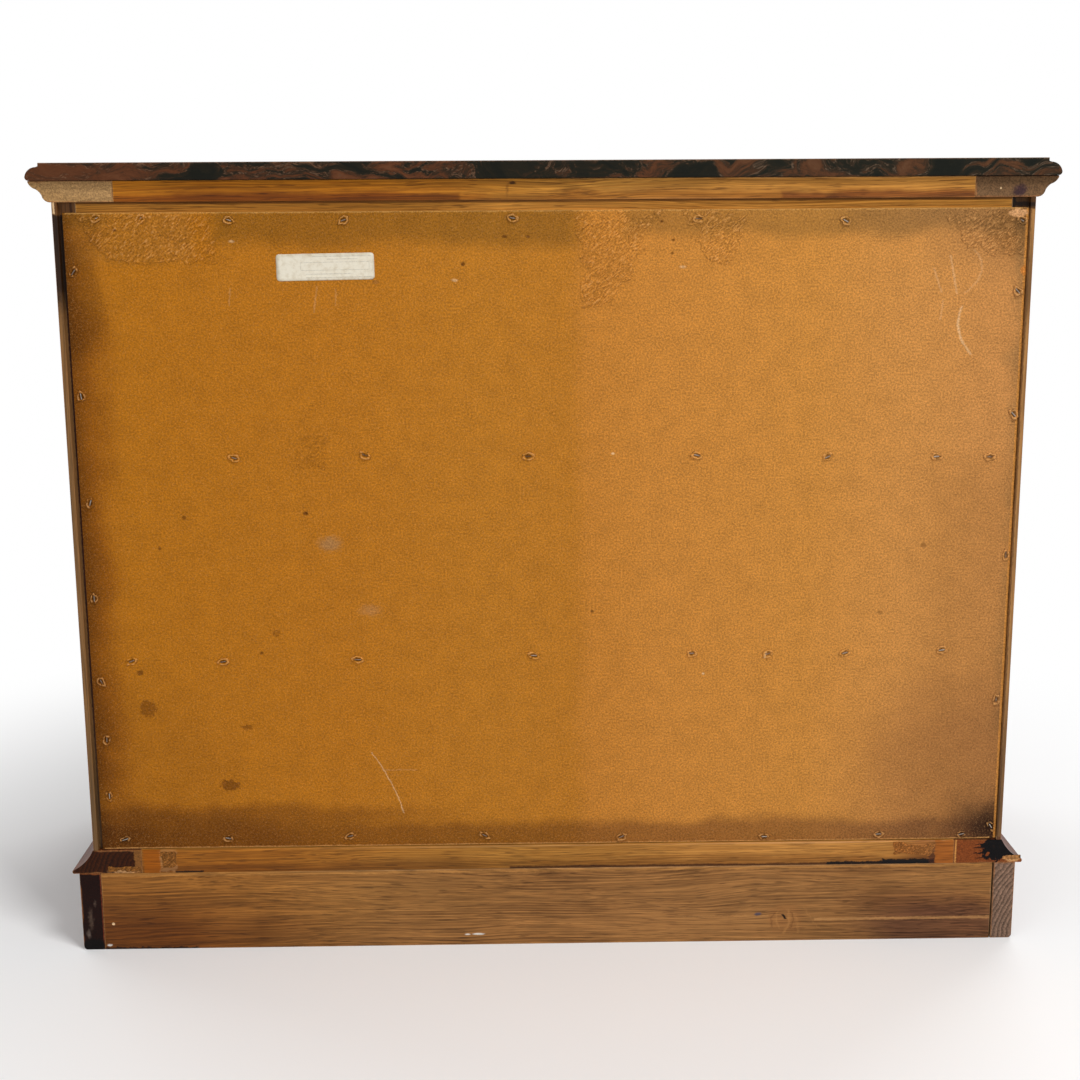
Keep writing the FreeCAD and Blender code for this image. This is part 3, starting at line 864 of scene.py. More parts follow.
MARBLE = Stone(
    "swirled_stone",
    tones=(
        (0.36, chip(22, 22, 15)),
        (0.46, chip(32, 28, 18)),
        (0.51, chip(56, 38, 24)),
        (0.57, chip(84, 49, 28)),
        (0.64, chip(94, 58, 36)),
        (0.74, chip(76, 58, 44)),
    ),
    vein=chip(150, 116, 90),
)

GREIGE_END = chip(172, 134, 88)
TAUPE_END = chip(110, 82, 56)
ESPRESSO_END = chip(33, 15, 7)
ASH_END = chip(134, 106, 88)
BROWN_END = chip(60, 30, 9)
RUST_END = chip(122, 64, 30)
# Near black: the colour of ink marks, and of painted shadow lines in gaps and under overhangs.
INK_AND_SHADOW = chip(16, 13, 14)
SPLINTER = chip(196, 146, 96)
VARNISH = chip(144, 78, 3)
SPOT = chip(86, 46, 12)
PALE = chip(222, 186, 140)
SHADE = (0.55, 0.52, 0.62)
OLIVE = (0.66, 0.69, 0.72)
DUSK = (0.70, 0.735, 0.78)
CORNER_DARKENING = (0.24, 0.24, 0.34)

PANEL_VEILS = (
    box_veil(-462, 440, 38, 276, (0.60, 0.54, 0.42), 1.0, 34, 30),
    box_veil(-458, 420, 16, 330, (0.60, 0.6, 0.5), 1.0, 22, 14),
    box_veil(458, 470, 12, 250, (0.66, 0.72, 0.8), 1.0, 22, 26),
    box_veil(-142, 745, 172, 44, OLIVE, 1.0, 20, 16),
    box_veil(-388, 712, 56, 24, (0.94, 1.0, 1.75), 1.0, 14, 8),
    veil(440, 716, 24, 26, (0.74, 0.72, 0.64), 0.9, 24, 10),
    box_veil(436, 260, 70, 230, (0.86, 0.85, 0.82), 0.9, 70, 20),
    veil(-448, 740, 38, 22, OLIVE, 0.9, 14, 14),
    veil(-444, 655, 30, 52, (0.68, 0.68, 0.62), 0.8, 14, 16),
    box_veil(272, 745, 198, 36, DUSK, 1.0, 16, 14),
    veil(330, 728, 50, 18, (0.8, 0.82, 0.9), 0.8, 20, 20),
    veil(420, 722, 60, 44, (0.8, 0.82, 0.9), 0.8, 44, 30),
    box_veil(-130, 92, 520, 39, SHADE, 1.0, 16, 14),
    veil(-420, 92, 190, 62, (0.74, 0.7, 0.78), 1.0, 30, 22),
    box_veil(480, 92, 88, 37, (0.62, 0.58, 0.66), 1.0, 18, 14),
    veil(-444, 110, 50, 40, (0.74, 0.72, 0.74), 0.9, 44, 30),
    veil(-290, 141, 160, 12, SHADE, 0.85, 14, 14),
    veil(-400, 190, 84, 90, SHADE, 0.24, 90, 40),
    veil(420, 170, 110, 96, (0.74, 0.72, 0.8), 0.9, 90, 40),
    # These two darken the panel's lower right corner.
    veil(458, 122, 48, 40, CORNER_DARKENING, 0.9, 50, 44),
    veil(448, 128, 20, 20, (0.4, 0.4, 0.44), 0.8, 22, 26),
)
PANEL_EDGES = (
    box(0, 732.6, 446, 0.8, chip(210, 160, 92), 0.4, 1.2, 1.8),
    box(0, 107.6, 446, 0.8, chip(206, 150, 88), 0.7, 1.2, 1.4),
    box(450.8, 420, 1.3, 312, chip(206, 138, 66), 0.85, 1.0, 0.8),
    Mark(443, 728, 9, 3.5, chip(214, 160, 110), 0.8, 2.0, 5.0),
    Mark(451, 675, 3.5, 5, chip(206, 126, 54), 0.8, 2.0, 3.0),
)
PANEL_SPOTS = tuple(
    Mark(across, up, wide, high, SPOT, strength, 1.6, ragged)
    for across, up, wide, high, strength, ragged in (
        (-39, 709, 2.2, 1.4, 0.8, 1),
        (-17, 709, 1.8, 1.4, 0.8, 1),
        (-78, 684, 2.2, 1.9, 0.8, 1),
        (-401, 717, 1.5, 1.5, 0.9, 0.5),
        (-233, 448, 2.4, 1.9, 0.85, 1),
        (-375, 415, 1.8, 1.6, 0.7, 1),
        (-350, 445, 2.0, 1.5, 0.7, 1),
        (-266, 329, 4.0, 3.4, 0.35, 3),
        (-281, 309, 2.0, 1.6, 0.7, 1),
        (-401, 290, 3.0, 2.4, 0.7, 2),
        (-395, 254, 8.5, 8.0, 0.5, 5),
        (-299, 233, 5.0, 3.0, 0.55, 5),
        (-318, 173, 9.5, 5.5, 0.62, 7),
        (43, 348, 1.4, 1.4, 0.8, 0.5),
        (108, 722, 1.4, 1.2, 0.9, 0.5),
        (119, 705, 1.6, 1.2, 0.8, 0.5),
        (118, 693, 1.2, 1.2, 0.8, 0.5),
        (366, 411, 2.8, 2.2, 0.45, 2),
        (326, 344, 2.4, 2.0, 0.35, 2),
    )
)
PANEL_SCUFFS = (
    Mark(-211, 418, 10, 6.5, chip(150, 118, 84), 0.55, 8, 6),
    Mark(-174, 351, 9, 5, chip(168, 124, 84), 0.4, 8, 6),
    Mark(-160, 668, 3.0, 1.8, chip(150, 98, 44), 0.8, 1.5, 1.5),
    Mark(63, 503.7, 1.6, 1.0, PALE, 0.9, 0.8),
    Mark(153, 283.5, 1.3, 1.0, PALE, 0.9, 0.8),
    Mark(128, 680, 2.8, 1.2, PALE, 0.5, 1.5, 1.5),
    Mark(-86, 669, 2.6, 1.2, PALE, 0.5, 1.5, 1.5),
    stroke(214, 302, 0.7, 3.4, PALE, 0.7, 1.0, 1.0, 0.25),
    Mark(-293, 706, 2.4, 1.0, PALE, 0.5, 1.5, 1.5),
    box(-148.5, 187, 16, 0.5, PALE, 0.16, 1.4, 2.5),
    stroke(-157.7, 174, 0.5, 32, PALE, 0.6, 1.2, 1.8, -0.477, -0.003),
    stroke(-217, 652, 0.6, 12, PALE, 0.2, 2.0, 1.8, 0.15),
    stroke(-198, 654, 0.5, 8, PALE, 0.18, 2.0, 1.8, 0.05),
    stroke(-297, 655, 0.5, 8, PALE, 0.2, 2.0, 1.8, 0.1),
    stroke(369, 666, 0.6, 11, PALE, 0.34, 2.2, 1.6, -0.36),
    stroke(384, 671, 0.6, 18, PALE, 0.42, 2.2, 1.6, -0.206),
    stroke(410, 674, 0.8, 20, PALE, 0.24, 2.4, 1.8, 0.19, -0.028),
    stroke(374, 638, 0.6, 9, PALE, 0.26, 2.2, 1.6, 0.12),
    stroke(391, 619, 1.0, 23, PALE, 0.55, 2.2, 1.8, -0.22, 0.014),
)
TOP_RAIL_MARKS = (
    # Painted shadow: a black line under the slab's overhang.
    box(0, 762.3, 480, 0.9, INK_AND_SHADOW, 0.8, 0.8, 0.6),
    box_veil(0, 740, 430, 9, (0.6, 0.5, 0.36), 0.95, 8, 9),
    box_veil(-300, 752, 250, 400, (1.02, 0.76, 0.16), 0.95, 300, 10),
    box_veil(-330, 744, 250, 5.5, (0.56, 0.46, 0.3), 0.95, 4, 3),
    box_veil(330, 752, 250, 400, (1.16, 1.08, 1.2), 0.95, 300, 10),
    box_veil(330, 744.5, 110, 3.4, (0.62, 0.5, 0.6), 0.9, 5, 6),
    Mark(-31.5, 757.7, 3.2, 1.4, chip(52, 30, 12), 0.9, 1.5, 2.0),
    Mark(-36.0, 752.0, 1.0, 5.0, chip(84, 48, 20), 0.5, 2.0, 3.0),
)
CASE_RAIL_MARKS = (
    # Painted light: the whole rail is lightened to offset the shade that the top frame casts on it.
    box_veil(0, 738, 480, 40, (1.42, 1.38, 1.45), 0.95, 1, 0),
    box_veil(-300, 738, 190, 14, (0.56, 0.48, 0.22), 0.9, 190, 6),
    # Painted shadow: a dark line under the top frame's overhang.
    box_veil(0, 742, 440, 1.6, (0.26, 0.22, 0.2), 0.95, 2.4, 0),
)
BASE_RAIL_MARKS = (
    # Painted shade along the rail's lower edge, where it meets the plinth.
    box_veil(0, 83, 412, 8, (0.6, 0.54, 0.46), 0.95, 9, 6),
    box_veil(0, 94, 480, 40, (0.9, 0.88, 0.96), 1.0, 1, 0),
    box_veil(-380, 94, 200, 400, (0.74, 0.56, 0.26), 1.0, 300, 10),
    box_veil(330, 94, 250, 400, (1.12, 1.1, 1.36), 1.0, 260, 10),
    veil(388, 95, 30, 18, (0.66, 0.56, 0.6), 0.9, 26, 8),
    box(-399, 94.5, 8.2, 13, VARNISH, 0.92, 1.2, 1.8),
    box(-383, 95, 8, 12, SPLINTER, 0.3, 3, 6),
    # Painted shadow: these four dark lines are the gap between the rail and the plinth, widest
    # where the rail's edge is chipped.
    box(-362, 82.8, 14, 1.1, INK_AND_SHADOW, 0.9, 1.5, 1.5),
    box(130, 83.2, 170, 1.3, chip(52, 27, 13), 0.85, 2.5, 1.5),
    box(336, 83.6, 56, 1.7, INK_AND_SHADOW, 0.97, 1.2, 2.6),
    box(364, 84.4, 27, 2.8, INK_AND_SHADOW, 0.97, 1.2, 3.0),
    Mark(376, 100, 15, 6, chip(186, 118, 62), 0.35, 4, 7),
    Mark(388, 91, 4, 10, chip(70, 38, 24), 0.75, 5, 12),
    box(401, 94, 10.5, 13, chip(150, 84, 30), 0.8, 1.5, 3.0),
)
BASE_LEFT_END_MARKS = (
    box(411.5, 94, 0.7, 13, chip(204, 150, 84), 0.8, 0.8, 0.5),
    box(424, 94, 11.5, 13, RUST_END, 0.8, 3, 3),
    box(411.5, 94, 0.5, 13, chip(196, 128, 60), 0.5, 0.8, 0.5),
    Mark(451, 96, 14, 14, INK_AND_SHADOW, 1.0, 1.6, 15),
    Mark(464, 97, 14, 10, INK_AND_SHADOW, 1.0, 1.6, 8),
    box(438, 102, 7, 0.5, INK_AND_SHADOW, 0.9, 0.8, 2.5),
    box(436, 98, 6, 0.6, INK_AND_SHADOW, 0.9, 0.8, 2.5),
    box(437, 92, 7, 0.5, INK_AND_SHADOW, 0.9, 0.8, 2.5),
    box(438, 87, 6, 0.5, INK_AND_SHADOW, 0.9, 0.8, 2.5),
    Mark(444, 91, 1.6, 2.2, RUST_END, 0.9, 1.0, 2.5),
    Mark(450, 99, 1.4, 1.8, chip(96, 62, 40), 0.9, 1.0, 2.5),
    Mark(459, 100, 16, 6, INK_AND_SHADOW, 0.95, 2.0, 8),
    Mark(470, 85.5, 8, 2.6, SPLINTER, 0.8, 1.5, 3.0),
)
BASE_RIGHT_END_MARKS = (
    box(-413.0, 94, 3.8, 13, chip(128, 84, 42), 0.85, 1.5, 3.0),
    box(-409.4, 94, 0.5, 13, chip(44, 22, 10), 0.9, 0.6, 0.3),
    Mark(-428, 84.6, 14, 2.6, SPLINTER, 0.7, 1.5, 4.0),
)
PLINTH_MARKS = (
    box_veil(-390, 40, 150, 400, (0.94, 0.82, 0.5), 1.0, 260, 30),
    veil(-440, 8, 150, 44, (0.48, 0.35, 0.2), 0.95, 60, 24),
    veil(-180, 60, 110, 30, (1.12, 1.16, 1.1), 0.9, 60, 20),
    veil(390, 40, 80, 13, (0.66, 0.58, 0.62), 0.8, 16, 10),
    veil(400, 14, 84, 24, (0.46, 0.4, 0.58), 0.95, 24, 14),
    veil(200, 30, 130, 30, (1.1, 1.16, 1.3), 0.9, 80, 14),
    veil(20, 20, 90, 18, (1.12, 1.12, 1.14), 0.8, 40, 16),
    box(362, 23.0, 92, 1.3, chip(184, 134, 82), 0.6, 2.0, 1.6),
    Mark(240, 24.0, 17, 15, chip(150, 98, 54), 0.3, 9.0, 7.0),
    stroke(244, 21, 0.9, 13, chip(186, 132, 76), 0.4, 2.5, 4.0, 0.15, -0.02),
    stroke(231, 23, 0.7, 10, chip(186, 132, 76), 0.35, 2.0, 4.0, -0.1, 0.03),
    stroke(226, 22, 0.7, 8, chip(74, 44, 24), 0.4, 2.0, 4.0, 0.1, 0.03),
    stroke(248, 22, 0.7, 9, chip(70, 40, 20), 0.4, 2.0, 4.0, 0.1, -0.03),
    stroke(253, 19, 0.8, 11, chip(176, 124, 72), 0.3, 2.5, 4.0, -0.2, -0.02),
    stroke(266, 24, 0.8, 12, chip(176, 124, 72), 0.25, 2.5, 4.0, -0.7, 0.01),
    box(180, 27, 44, 0.8, chip(180, 130, 78), 0.3, 2.0, 5.0),
    box(-405, 0, 48, 1.8, INK_AND_SHADOW, 0.85, 1.5, 4.0),
    stroke(239, 26.0, 1.3, 2.6, INK_AND_SHADOW, 0.95, 1.0, 1.2, -0.7),
    Mark(212, 29.3, 3.4, 1.8, chip(62, 66, 84), 0.8, 1.5, 1.0),
    Mark(-441.7, 27.6, 1.5, 1.5, PALE, 0.95, 0.8, 0.6),
    Mark(-446.6, 4.7, 2.6, 1.2, chip(206, 200, 192), 0.9, 0.8, 1.0),
    Mark(-83.5, 11.2, 2.6, 0.8, chip(222, 216, 206), 0.9, 0.8, 0.6),
    Mark(-72.5, 11.6, 5.6, 1.0, chip(222, 216, 206), 0.95, 0.8, 0.8),
    box(0, 79.6, 450, 1.2, chip(188, 132, 70), 0.4, 2.0, 2.0),
)
PLINTH_RIGHT_END_MARKS = (
    box(-452.0, 42, 0.6, 38, chip(112, 50, 30), 0.8, 0.8, 0.5),
    Mark(-462, 3, 13, 9, INK_AND_SHADOW, 0.95, 4.0, 4.0),
    box_veil(-462, 44, 10, 40, (1.0, 0.7, 0.45), 0.9, 4.0, 4.0),
    Mark(-464, 33, 2.4, 10, chip(96, 78, 66), 0.5, 3.0, 4.0),
    Mark(-459, 50, 1.2, 3.0, chip(104, 86, 74), 0.4, 2.0, 3.0),
    Mark(-467, 17, 1.6, 4.0, chip(120, 104, 94), 0.45, 2.0, 3.0),
)
SIDE_MARKS = {
    "left": (
        box(456, 430, 14, 320, chip(152, 109, 63), 0.95, 2.0, 3.0),
        box(452.8, 430, 0.8, 320, chip(98, 66, 36), 0.9, 1.2, 1.6),
        Mark(455, 140, 14, 52, chip(58, 42, 28), 0.8, 46, 10),
        Mark(455, 655, 12, 22, chip(86, 60, 36), 0.7, 24, 8),
        box(446, 741, 22, 9, chip(66, 42, 18), 0.95, 1.5, 2.0),
        # Painted shadows: black in the gaps at the side's top, under the top frame.
        box(437, 741, 2.4, 8, INK_AND_SHADOW, 0.9, 2.0, 3.0),
        box(448, 736, 9, 2.0, INK_AND_SHADOW, 0.8, 2.0, 3.0),
    ),
    "right": (
        box(-457, 430, 16, 330, chip(120, 86, 50), 0.97, 2.0, 3.0),
        # Painted light: the rabbet's floor is given a lighter colour to offset the shade that falls
        # into it.
        box(-451.6, 420, 1.2, 320, chip(130, 92, 54), 0.95, 1.0, 1.2),
        # Painted shadow: a black line in the gap beside the panel's edge.
        box(-449.6, 420, 1.1, 320, chip(50, 18, 6), 0.97, 0.8, 1.0),
        Mark(-457, 150, 16, 60, chip(92, 70, 44), 0.8, 40, 10),
        Mark(-457, 697, 34, 50, chip(34, 19, 9), 0.94, 26.0, 12.0),
        box(-446, 741, 12, 10, chip(104, 68, 36), 0.95, 1.5, 2.0),
        box(-441, 741, 1.2, 8, chip(56, 32, 16), 0.8, 1.5, 1.0),
        box(-455.5, 738, 1.0, 6, PALE, 0.8, 1.0, 1.5),
    ),
}
TOP_RIGHT_END_MARKS = (
    # Painted shadow: a black line under the slab's overhang.
    box(-440, 762.3, 60, 0.8, INK_AND_SHADOW, 0.7, 0.8, 0.6),
    box_veil(-440, 746, 40, 5, (0.86, 0.84, 0.8), 0.9, 8, 20),
)
TOP_LEFT_END_MARKS = (
    # Painted shadow: a black line under the slab's overhang.
    box(440, 762.3, 60, 1.2, INK_AND_SHADOW, 0.85, 0.8, 0.6),
    Mark(441.5, 748, 6.5, 5.5, chip(44, 26, 44), 0.75, 6.0, 5.0),
    Mark(423.6, 750.6, 0.9, 0.9, PALE, 0.9, 0.6),
)


def grid_faces(rows: int, columns: int, closed: bool = False) -> np.ndarray:
    """Quads between the neighbours of a grid.

    Args:
        rows: How many rows of points.
        columns: How many points in a row.
        closed: Whether each row runs round and meets itself.

    Returns:
        Four point numbers for each quad, counted row by row.
    """
    down = np.arange(rows - 1)[:, None] * columns
    here = np.arange(columns if closed else columns - 1)[None, :]
    there = (here + 1) % columns
    quads = (down + here, down + there, down + columns + there, down + columns + here)
    return np.stack(quads, axis=-1).reshape(-1, 4)


def closed_sheet_faces(rows: int, columns: int) -> list[list[int]]:
    """Quads of a grid, and one flat face along its border that closes it underneath.

    Args:
        rows: How many rows of points.
        columns: How many points in a row.

    Returns:
        The point numbers of each face.
    """
    number = np.arange(rows * columns).reshape(rows, columns)
    sides = (number[0, :-1], number[:-1, -1], number[-1, :0:-1], number[:0:-1, 0])
    border = np.concatenate(sides)[::-1]
    return [*grid_faces(rows, columns).tolist(), border.tolist()]


def lattice_noise(x: np.ndarray, y: np.ndarray, seed: int) -> np.ndarray:
    """Smooth random heights from 0 to 1.

    Random values stand on the whole numbers, and between four of them the height is theirs
    blended by 3t squared less 2t cubed on each axis.

    Args:
        x: Places on one axis.
        y: Places on the other.
        seed: Which random values.

    Returns:
        A height for each place.
    """
    side = 128
    values = np.random.default_rng(seed).random((side, side))
    i, j = np.floor(x).astype(int), np.floor(y).astype(int)
    u, v = x - i, y - j
    u, v = u * u * (3.0 - 2.0 * u), v * v * (3.0 - 2.0 * v)
    i, j, k, l = i % side, j % side, (i + 1) % side, (j + 1) % side
    low = values[i, j] * (1.0 - u) + values[k, j] * u
    high = values[i, l] * (1.0 - u) + values[k, l] * u
    return low * (1.0 - v) + high * v


def rough_ground(x: np.ndarray, y: np.ndarray, cell: float, seed: int) -> np.ndarray:
    """Fractal heights about zero: noise at a cell size plus half as much at half the size, twice.

    Args:
        x: Places on one axis, in the unit of the cell.
        y: Places on the other.
        cell: Size of the largest lumps.
        seed: Which random values.

    Returns:
        A height for each place.
    """
    return sum(
        (lattice_noise(x * 2**k / cell, y * 2**k / cell, seed + k) - 0.5) / 2**k for k in range(3)
    )


def on_back(across: np.ndarray, up: np.ndarray, out: np.ndarray, face: float) -> np.ndarray:
    """Points of the row frame from places on the back.

    Args:
        across: Towards the photograph's right, in millimetres.
        up: Above the floor, in millimetres.
        out: Out from the face, in millimetres.
        face: The face's place on Y, in metres.

    Returns:
        One row of x, y and z in metres for each place.
    """
    parts = (-MM * across, face + MM * out, MM * up)
    return np.stack(np.broadcast_arrays(*parts), axis=-1).reshape(-1, 3)


def add_piece(
    name: str,
    points: np.ndarray,
    faces: Sequence[Sequence[int]] | np.ndarray,
    material: bpy.types.Material,
    body: str,
) -> bpy.types.Object:
    """Makes a piece of the object from worked-out points.

    Args:
        name: Its name.
        points: Its points in the row frame, in metres.
        faces: The point numbers of each face.
        material: Its finish.
        body: The CAD body that it rides on.

    Returns:
        The new object, at the origin, its doubles merged and its faces pointing outwards.
    """
    mesh = bpy.data.meshes.new(name)
    mesh.from_pydata(np.asarray(points).tolist(), [], [list(face) for face in faces])
    piece = bpy.data.objects.new(name, mesh)
    bpy.context.scene.collection.objects.link(piece)
    work = bmesh.new()
    work.from_mesh(mesh)
    bmesh.ops.remove_doubles(work, verts=work.verts, dist=0.002 * MM)
    bmesh.ops.recalc_face_normals(work, faces=work.faces)
    work.to_mesh(mesh)
    work.free()
    mesh.shade_smooth()
    mesh.materials.append(material)
    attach(piece, body)
    LOG.info("%s: %d faces on %s", name, len(mesh.polygons), body)
    return piece


def add_copies(
    name: str,
    spots: np.ndarray,
    shape: tuple[np.ndarray, np.ndarray, np.ndarray],
    faces: Sequence[Sequence[int]],
    face: float,
    material: bpy.types.Material,
    body: str = "case",
) -> bpy.types.Object:
    """Sets a shape at every spot, turned with it, and makes the copies one piece.

    Each point's places along and beside the shape are turned by the spot's angle and added to
    the spot's own place.

    Args:
        name: The piece's name.
        spots: Across, up and turn of each copy, in millimetres and radians.
        shape: Grids of places along the shape and beside it and of heights above the face,
            for one copy or for each.
        faces: The point numbers of one copy's faces.
        face: The face that they stand on, as its place on Y in metres.
        material: Their finish.
        body: The CAD body that they ride on.

    Returns:
        The piece.
    """
    along, beside, out = shape
    middle_across, middle_up, turn = (spots[:, part, None, None] for part in range(3))
    across = middle_across + along * np.cos(turn) - beside * np.sin(turn)
    up = middle_up + along * np.sin(turn) + beside * np.cos(turn)
    points = on_back(across, up, np.broadcast_to(out, across.shape), face)
    firsts = across[0].size * np.arange(len(spots))
    all_faces = [[corner + first for corner in each] for first in firsts for each in faces]
    return add_piece(name, points, all_faces, material, body)


def crease_group(angle: float) -> bpy.types.GeometryNodeTree:
    """A node group that shades a mesh smooth and keeps edges sharper than an angle.

    Args:
        angle: The angle between two faces, in degrees.

    Returns:
        The group, made once for each angle.
    """
    name = f"smooth_below_{angle:g}_degrees"
    if name in bpy.data.node_groups:
        return bpy.data.node_groups[name]
    group = bpy.data.node_groups.new(name, "GeometryNodeTree")
    for way in ("INPUT", "OUTPUT"):
        group.interface.new_socket("Geometry", in_out=way, socket_type="NodeSocketGeometry")
    nodes = Nodes(group)
    start = nodes.node("NodeGroupInput")
    all_smooth = nodes.node("GeometryNodeSetShadeSmooth", None, {"Geometry": start})
    turn = nodes.node("GeometryNodeInputMeshEdgeAngle")
    sharp = nodes.node(
        "FunctionNodeCompare", {"operation": "GREATER_THAN"}, {0: turn, 1: math.radians(angle)}
    )
    creased = nodes.node(
        "GeometryNodeSetShadeSmooth",
        {"domain": "EDGE"},
        {"Geometry": all_smooth, "Selection": sharp, "Shade Smooth": False},
    )
    nodes.node("NodeGroupOutput", None, {"Geometry": creased})
    return group


def finish_node(
    node: str, material: bpy.types.Material, ease: float = 0.5 * MM, crease: float = 38.0
) -> None:
    """Gives a CAD node its finish and eases its edges as a plane or sandpaper would.

    Args:
        node: The node's name.
        material: Its finish.
        ease: Width of the eased edges in metres, or 0 for none.
        crease: Edges between faces at more than this angle, in degrees, stay sharp.
    """
    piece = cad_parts[node]
    for slot in piece.material_slots:
        slot.material = material

    def modify(kind: str, **settings: object) -> None:
        """Adds one modifier with its settings."""
        modifier = piece.modifiers.new(kind.lower(), kind)
        for name, value in settings.items():
            setattr(modifier, name, value)

    modify("WELD", merge_threshold=WELD)
    if ease:
        modify("DECIMATE", decimate_type="DISSOLVE", angle_limit=FLAT_BELOW)
        modify("BEVEL", width=ease, segments=2, limit_method="ANGLE", angle_limit=EASED_ABOVE)
    modify("NODES", node_group=crease_group(crease))
    if ease:
        modify("WEIGHTED_NORMAL", keep_sharp=True)
    LOG.info("%s: %s", node, material.name)


def finish_board(
    node: str,
    timber: Timber,
    marks: Sequence[Mark] = (),
    cut: Rgb | None = None,
    ease: float = 0.5 * MM,
    **board: object,
) -> None:
    """Finishes one wooden node.

    Args:
        node: The node's name.
        timber: Its wood.
        marks: Marks on its back face.
        cut: The colour of its end grain, where it differs.
        ease: Width of its eased edges in metres.
        board: How the board was cut from the trunk, as Board's fields.
    """
    finish_node(node, timber.dress(Board.of(node, **board), node, marks, cut), ease)


def unstained(
    node: str, axis: int, way: float, skin: float = 0.3 * MM
) -> tuple[int, float, float]:
    """Where a board is bare: on one of its faces, to a small depth.

    Args:
        node: The board's name.
        axis: The axis.
        way: 1 for the face towards plus, -1 for the one towards minus.
        skin: How deep the bare wood reaches, in metres.

    Returns:
        What Board takes as bare.
    """
    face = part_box(node)[1 if way > 0 else 0][axis]
    return axis, face - way * skin, way


@dataclass
class StoneSlab:
    """The slab: polished on top and round its moulded edge, sawn at the back."""

    ease: float = 0.5 * MM

    def build(self) -> None:
        """Finishes the slab."""
        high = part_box("stone_top")[1]
        finish_node("stone_top", MARBLE.dress(high.y - 0.5 * MM, high.z), self.ease)


@dataclass
class MouldedFrames:
    """The frames under the slab and under the case, and the plinth: moulded boards that meet in
    mitres at the front, with plain boards between their cut ends at the back."""

    ease: float = 0.5 * MM

    def build(self) -> None:
        """Finishes every board of the three."""
        self.build_top()
        self.build_base()
        self.build_plinth()

    def show(self, node: str, **rest: object) -> None:
        """Finishes a board whose stained side shows."""
        finish_board(node, SHOW_WOOD, ease=self.ease, **rest)

    def build_top(self) -> None:
        """The frame that the slab lies on."""
        left = {"heart": (0.09, 0.03), "rings": 0.15}
        right = {"heart": (-0.02, -0.12), "spread": 1.6, "rings": 0.25}
        self.show("top_frame_front", heart=(-0.03, -0.1))
        self.show("top_frame_left", marks=TOP_LEFT_END_MARKS, cut=TAUPE_END, **left)
        self.show("top_frame_right", marks=TOP_RIGHT_END_MARKS, cut=GREIGE_END, **right)
        finish_board("top_frame_back", BACK_WOOD, TOP_RAIL_MARKS, ease=self.ease)

    def build_base(self) -> None:
        """The frame that the case stands on."""
        right = {"heart": (-0.07, -0.03), "spread": 1.5, "rings": 0.9}
        self.show("base_frame_front", heart=(0.04, -0.08))
        self.show("base_frame_left", marks=BASE_LEFT_END_MARKS, cut=RUST_END, heart=(0.03, -0.1))
        self.show("base_frame_right", marks=BASE_RIGHT_END_MARKS, cut=BROWN_END, **right)
        finish_board("base_frame_back", BACK_WOOD, BASE_RAIL_MARKS, ease=self.ease)

    def build_plinth(self) -> None:
        """The plinth's boards, bare inside, and the blocks glued into its corners."""
        left = {"heart": (-0.082, -0.057), "spread": 1.7, "rings": 0.9}
        right = {"heart": (-0.07, -0.08), "bare": unstained("plinth_right", 0, -1.0)}
        self.show("plinth_front", bare=unstained("plinth_front", 1, 1.0))
        self.show("plinth_left", cut=ASH_END, bare=unstained("plinth_left", 0, 1.0), **left)
        self.show("plinth_right", marks=PLINTH_RIGHT_END_MARKS, cut=ESPRESSO_END, **right)
        finish_board("plinth_back", PLINTH_WOOD, PLINTH_MARKS, ease=self.ease, heart=(0.006, -0.06))
        finish_board("plinth_glue_blocks", DRAWER_WOOD, grain=Grain.Z, tone=0.8)


@dataclass
class Case:
    """Sides, front posts, rails and the frames that carry the drawers.

    Stain reaches stain_depth in from the front and side_skin in from the outside, in metres.
    """

    ease: float = 0.5 * MM
    stain_depth: float = 12 * MM
    side_skin: float = 4.6 * MM
    side_marks_deep: float = 12 * MM

    def build(self) -> None:
        """Finishes every board of the case."""
        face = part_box("front_top_rail")[0].y
        for side, way in (("left", 1.0), ("right", -1.0)):
            low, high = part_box(f"side_panel_{side}")
            outer = low.x if way > 0 else high.x
            finish_board(
                f"side_panel_{side}",
                SHOW_WOOD,
                SIDE_MARKS[side],
                ease=self.ease,
                grain=Grain.Z,
                heart=(0.06 * way, 0.02),
                tone=1.0 if way > 0 else 0.94,
                bare=(0, outer + way * self.side_skin, way),
                marked_deep=self.side_marks_deep,
            )
            stile = f"front_stile_{side}"
            bare = unstained(stile, 1, 1.0)
            finish_board(stile, SHOW_WOOD, ease=self.ease, heart=(0.02 * way, -0.05), bare=bare)
        bare = (1, face + self.stain_depth, 1.0)
        for node in ("front_top_rail", "upper_drawer_blade", "lower_drawer_blade"):
            finish_board(node, SHOW_WOOD, ease=self.ease, heart=(-0.05, -0.06), bare=bare)
        back = {"ease": self.ease, "heart": (0.03, -0.05)}
        finish_board("back_top_rail", BACK_WOOD, CASE_RAIL_MARKS, **back)
        for node in ("back_bottom_rail", "dust_frame_back_rails", "drawer_kickers"):
            finish_board(node, BACK_WOOD, ease=self.ease)
        for node in ("drawer_runners", "centre_guides"):
            finish_board(node, BACK_WOOD, ease=self.ease, grain=Grain.Y, tone=1.05)
        finish_node("dust_panels", DUST_BOARD.dress(), 0.0)


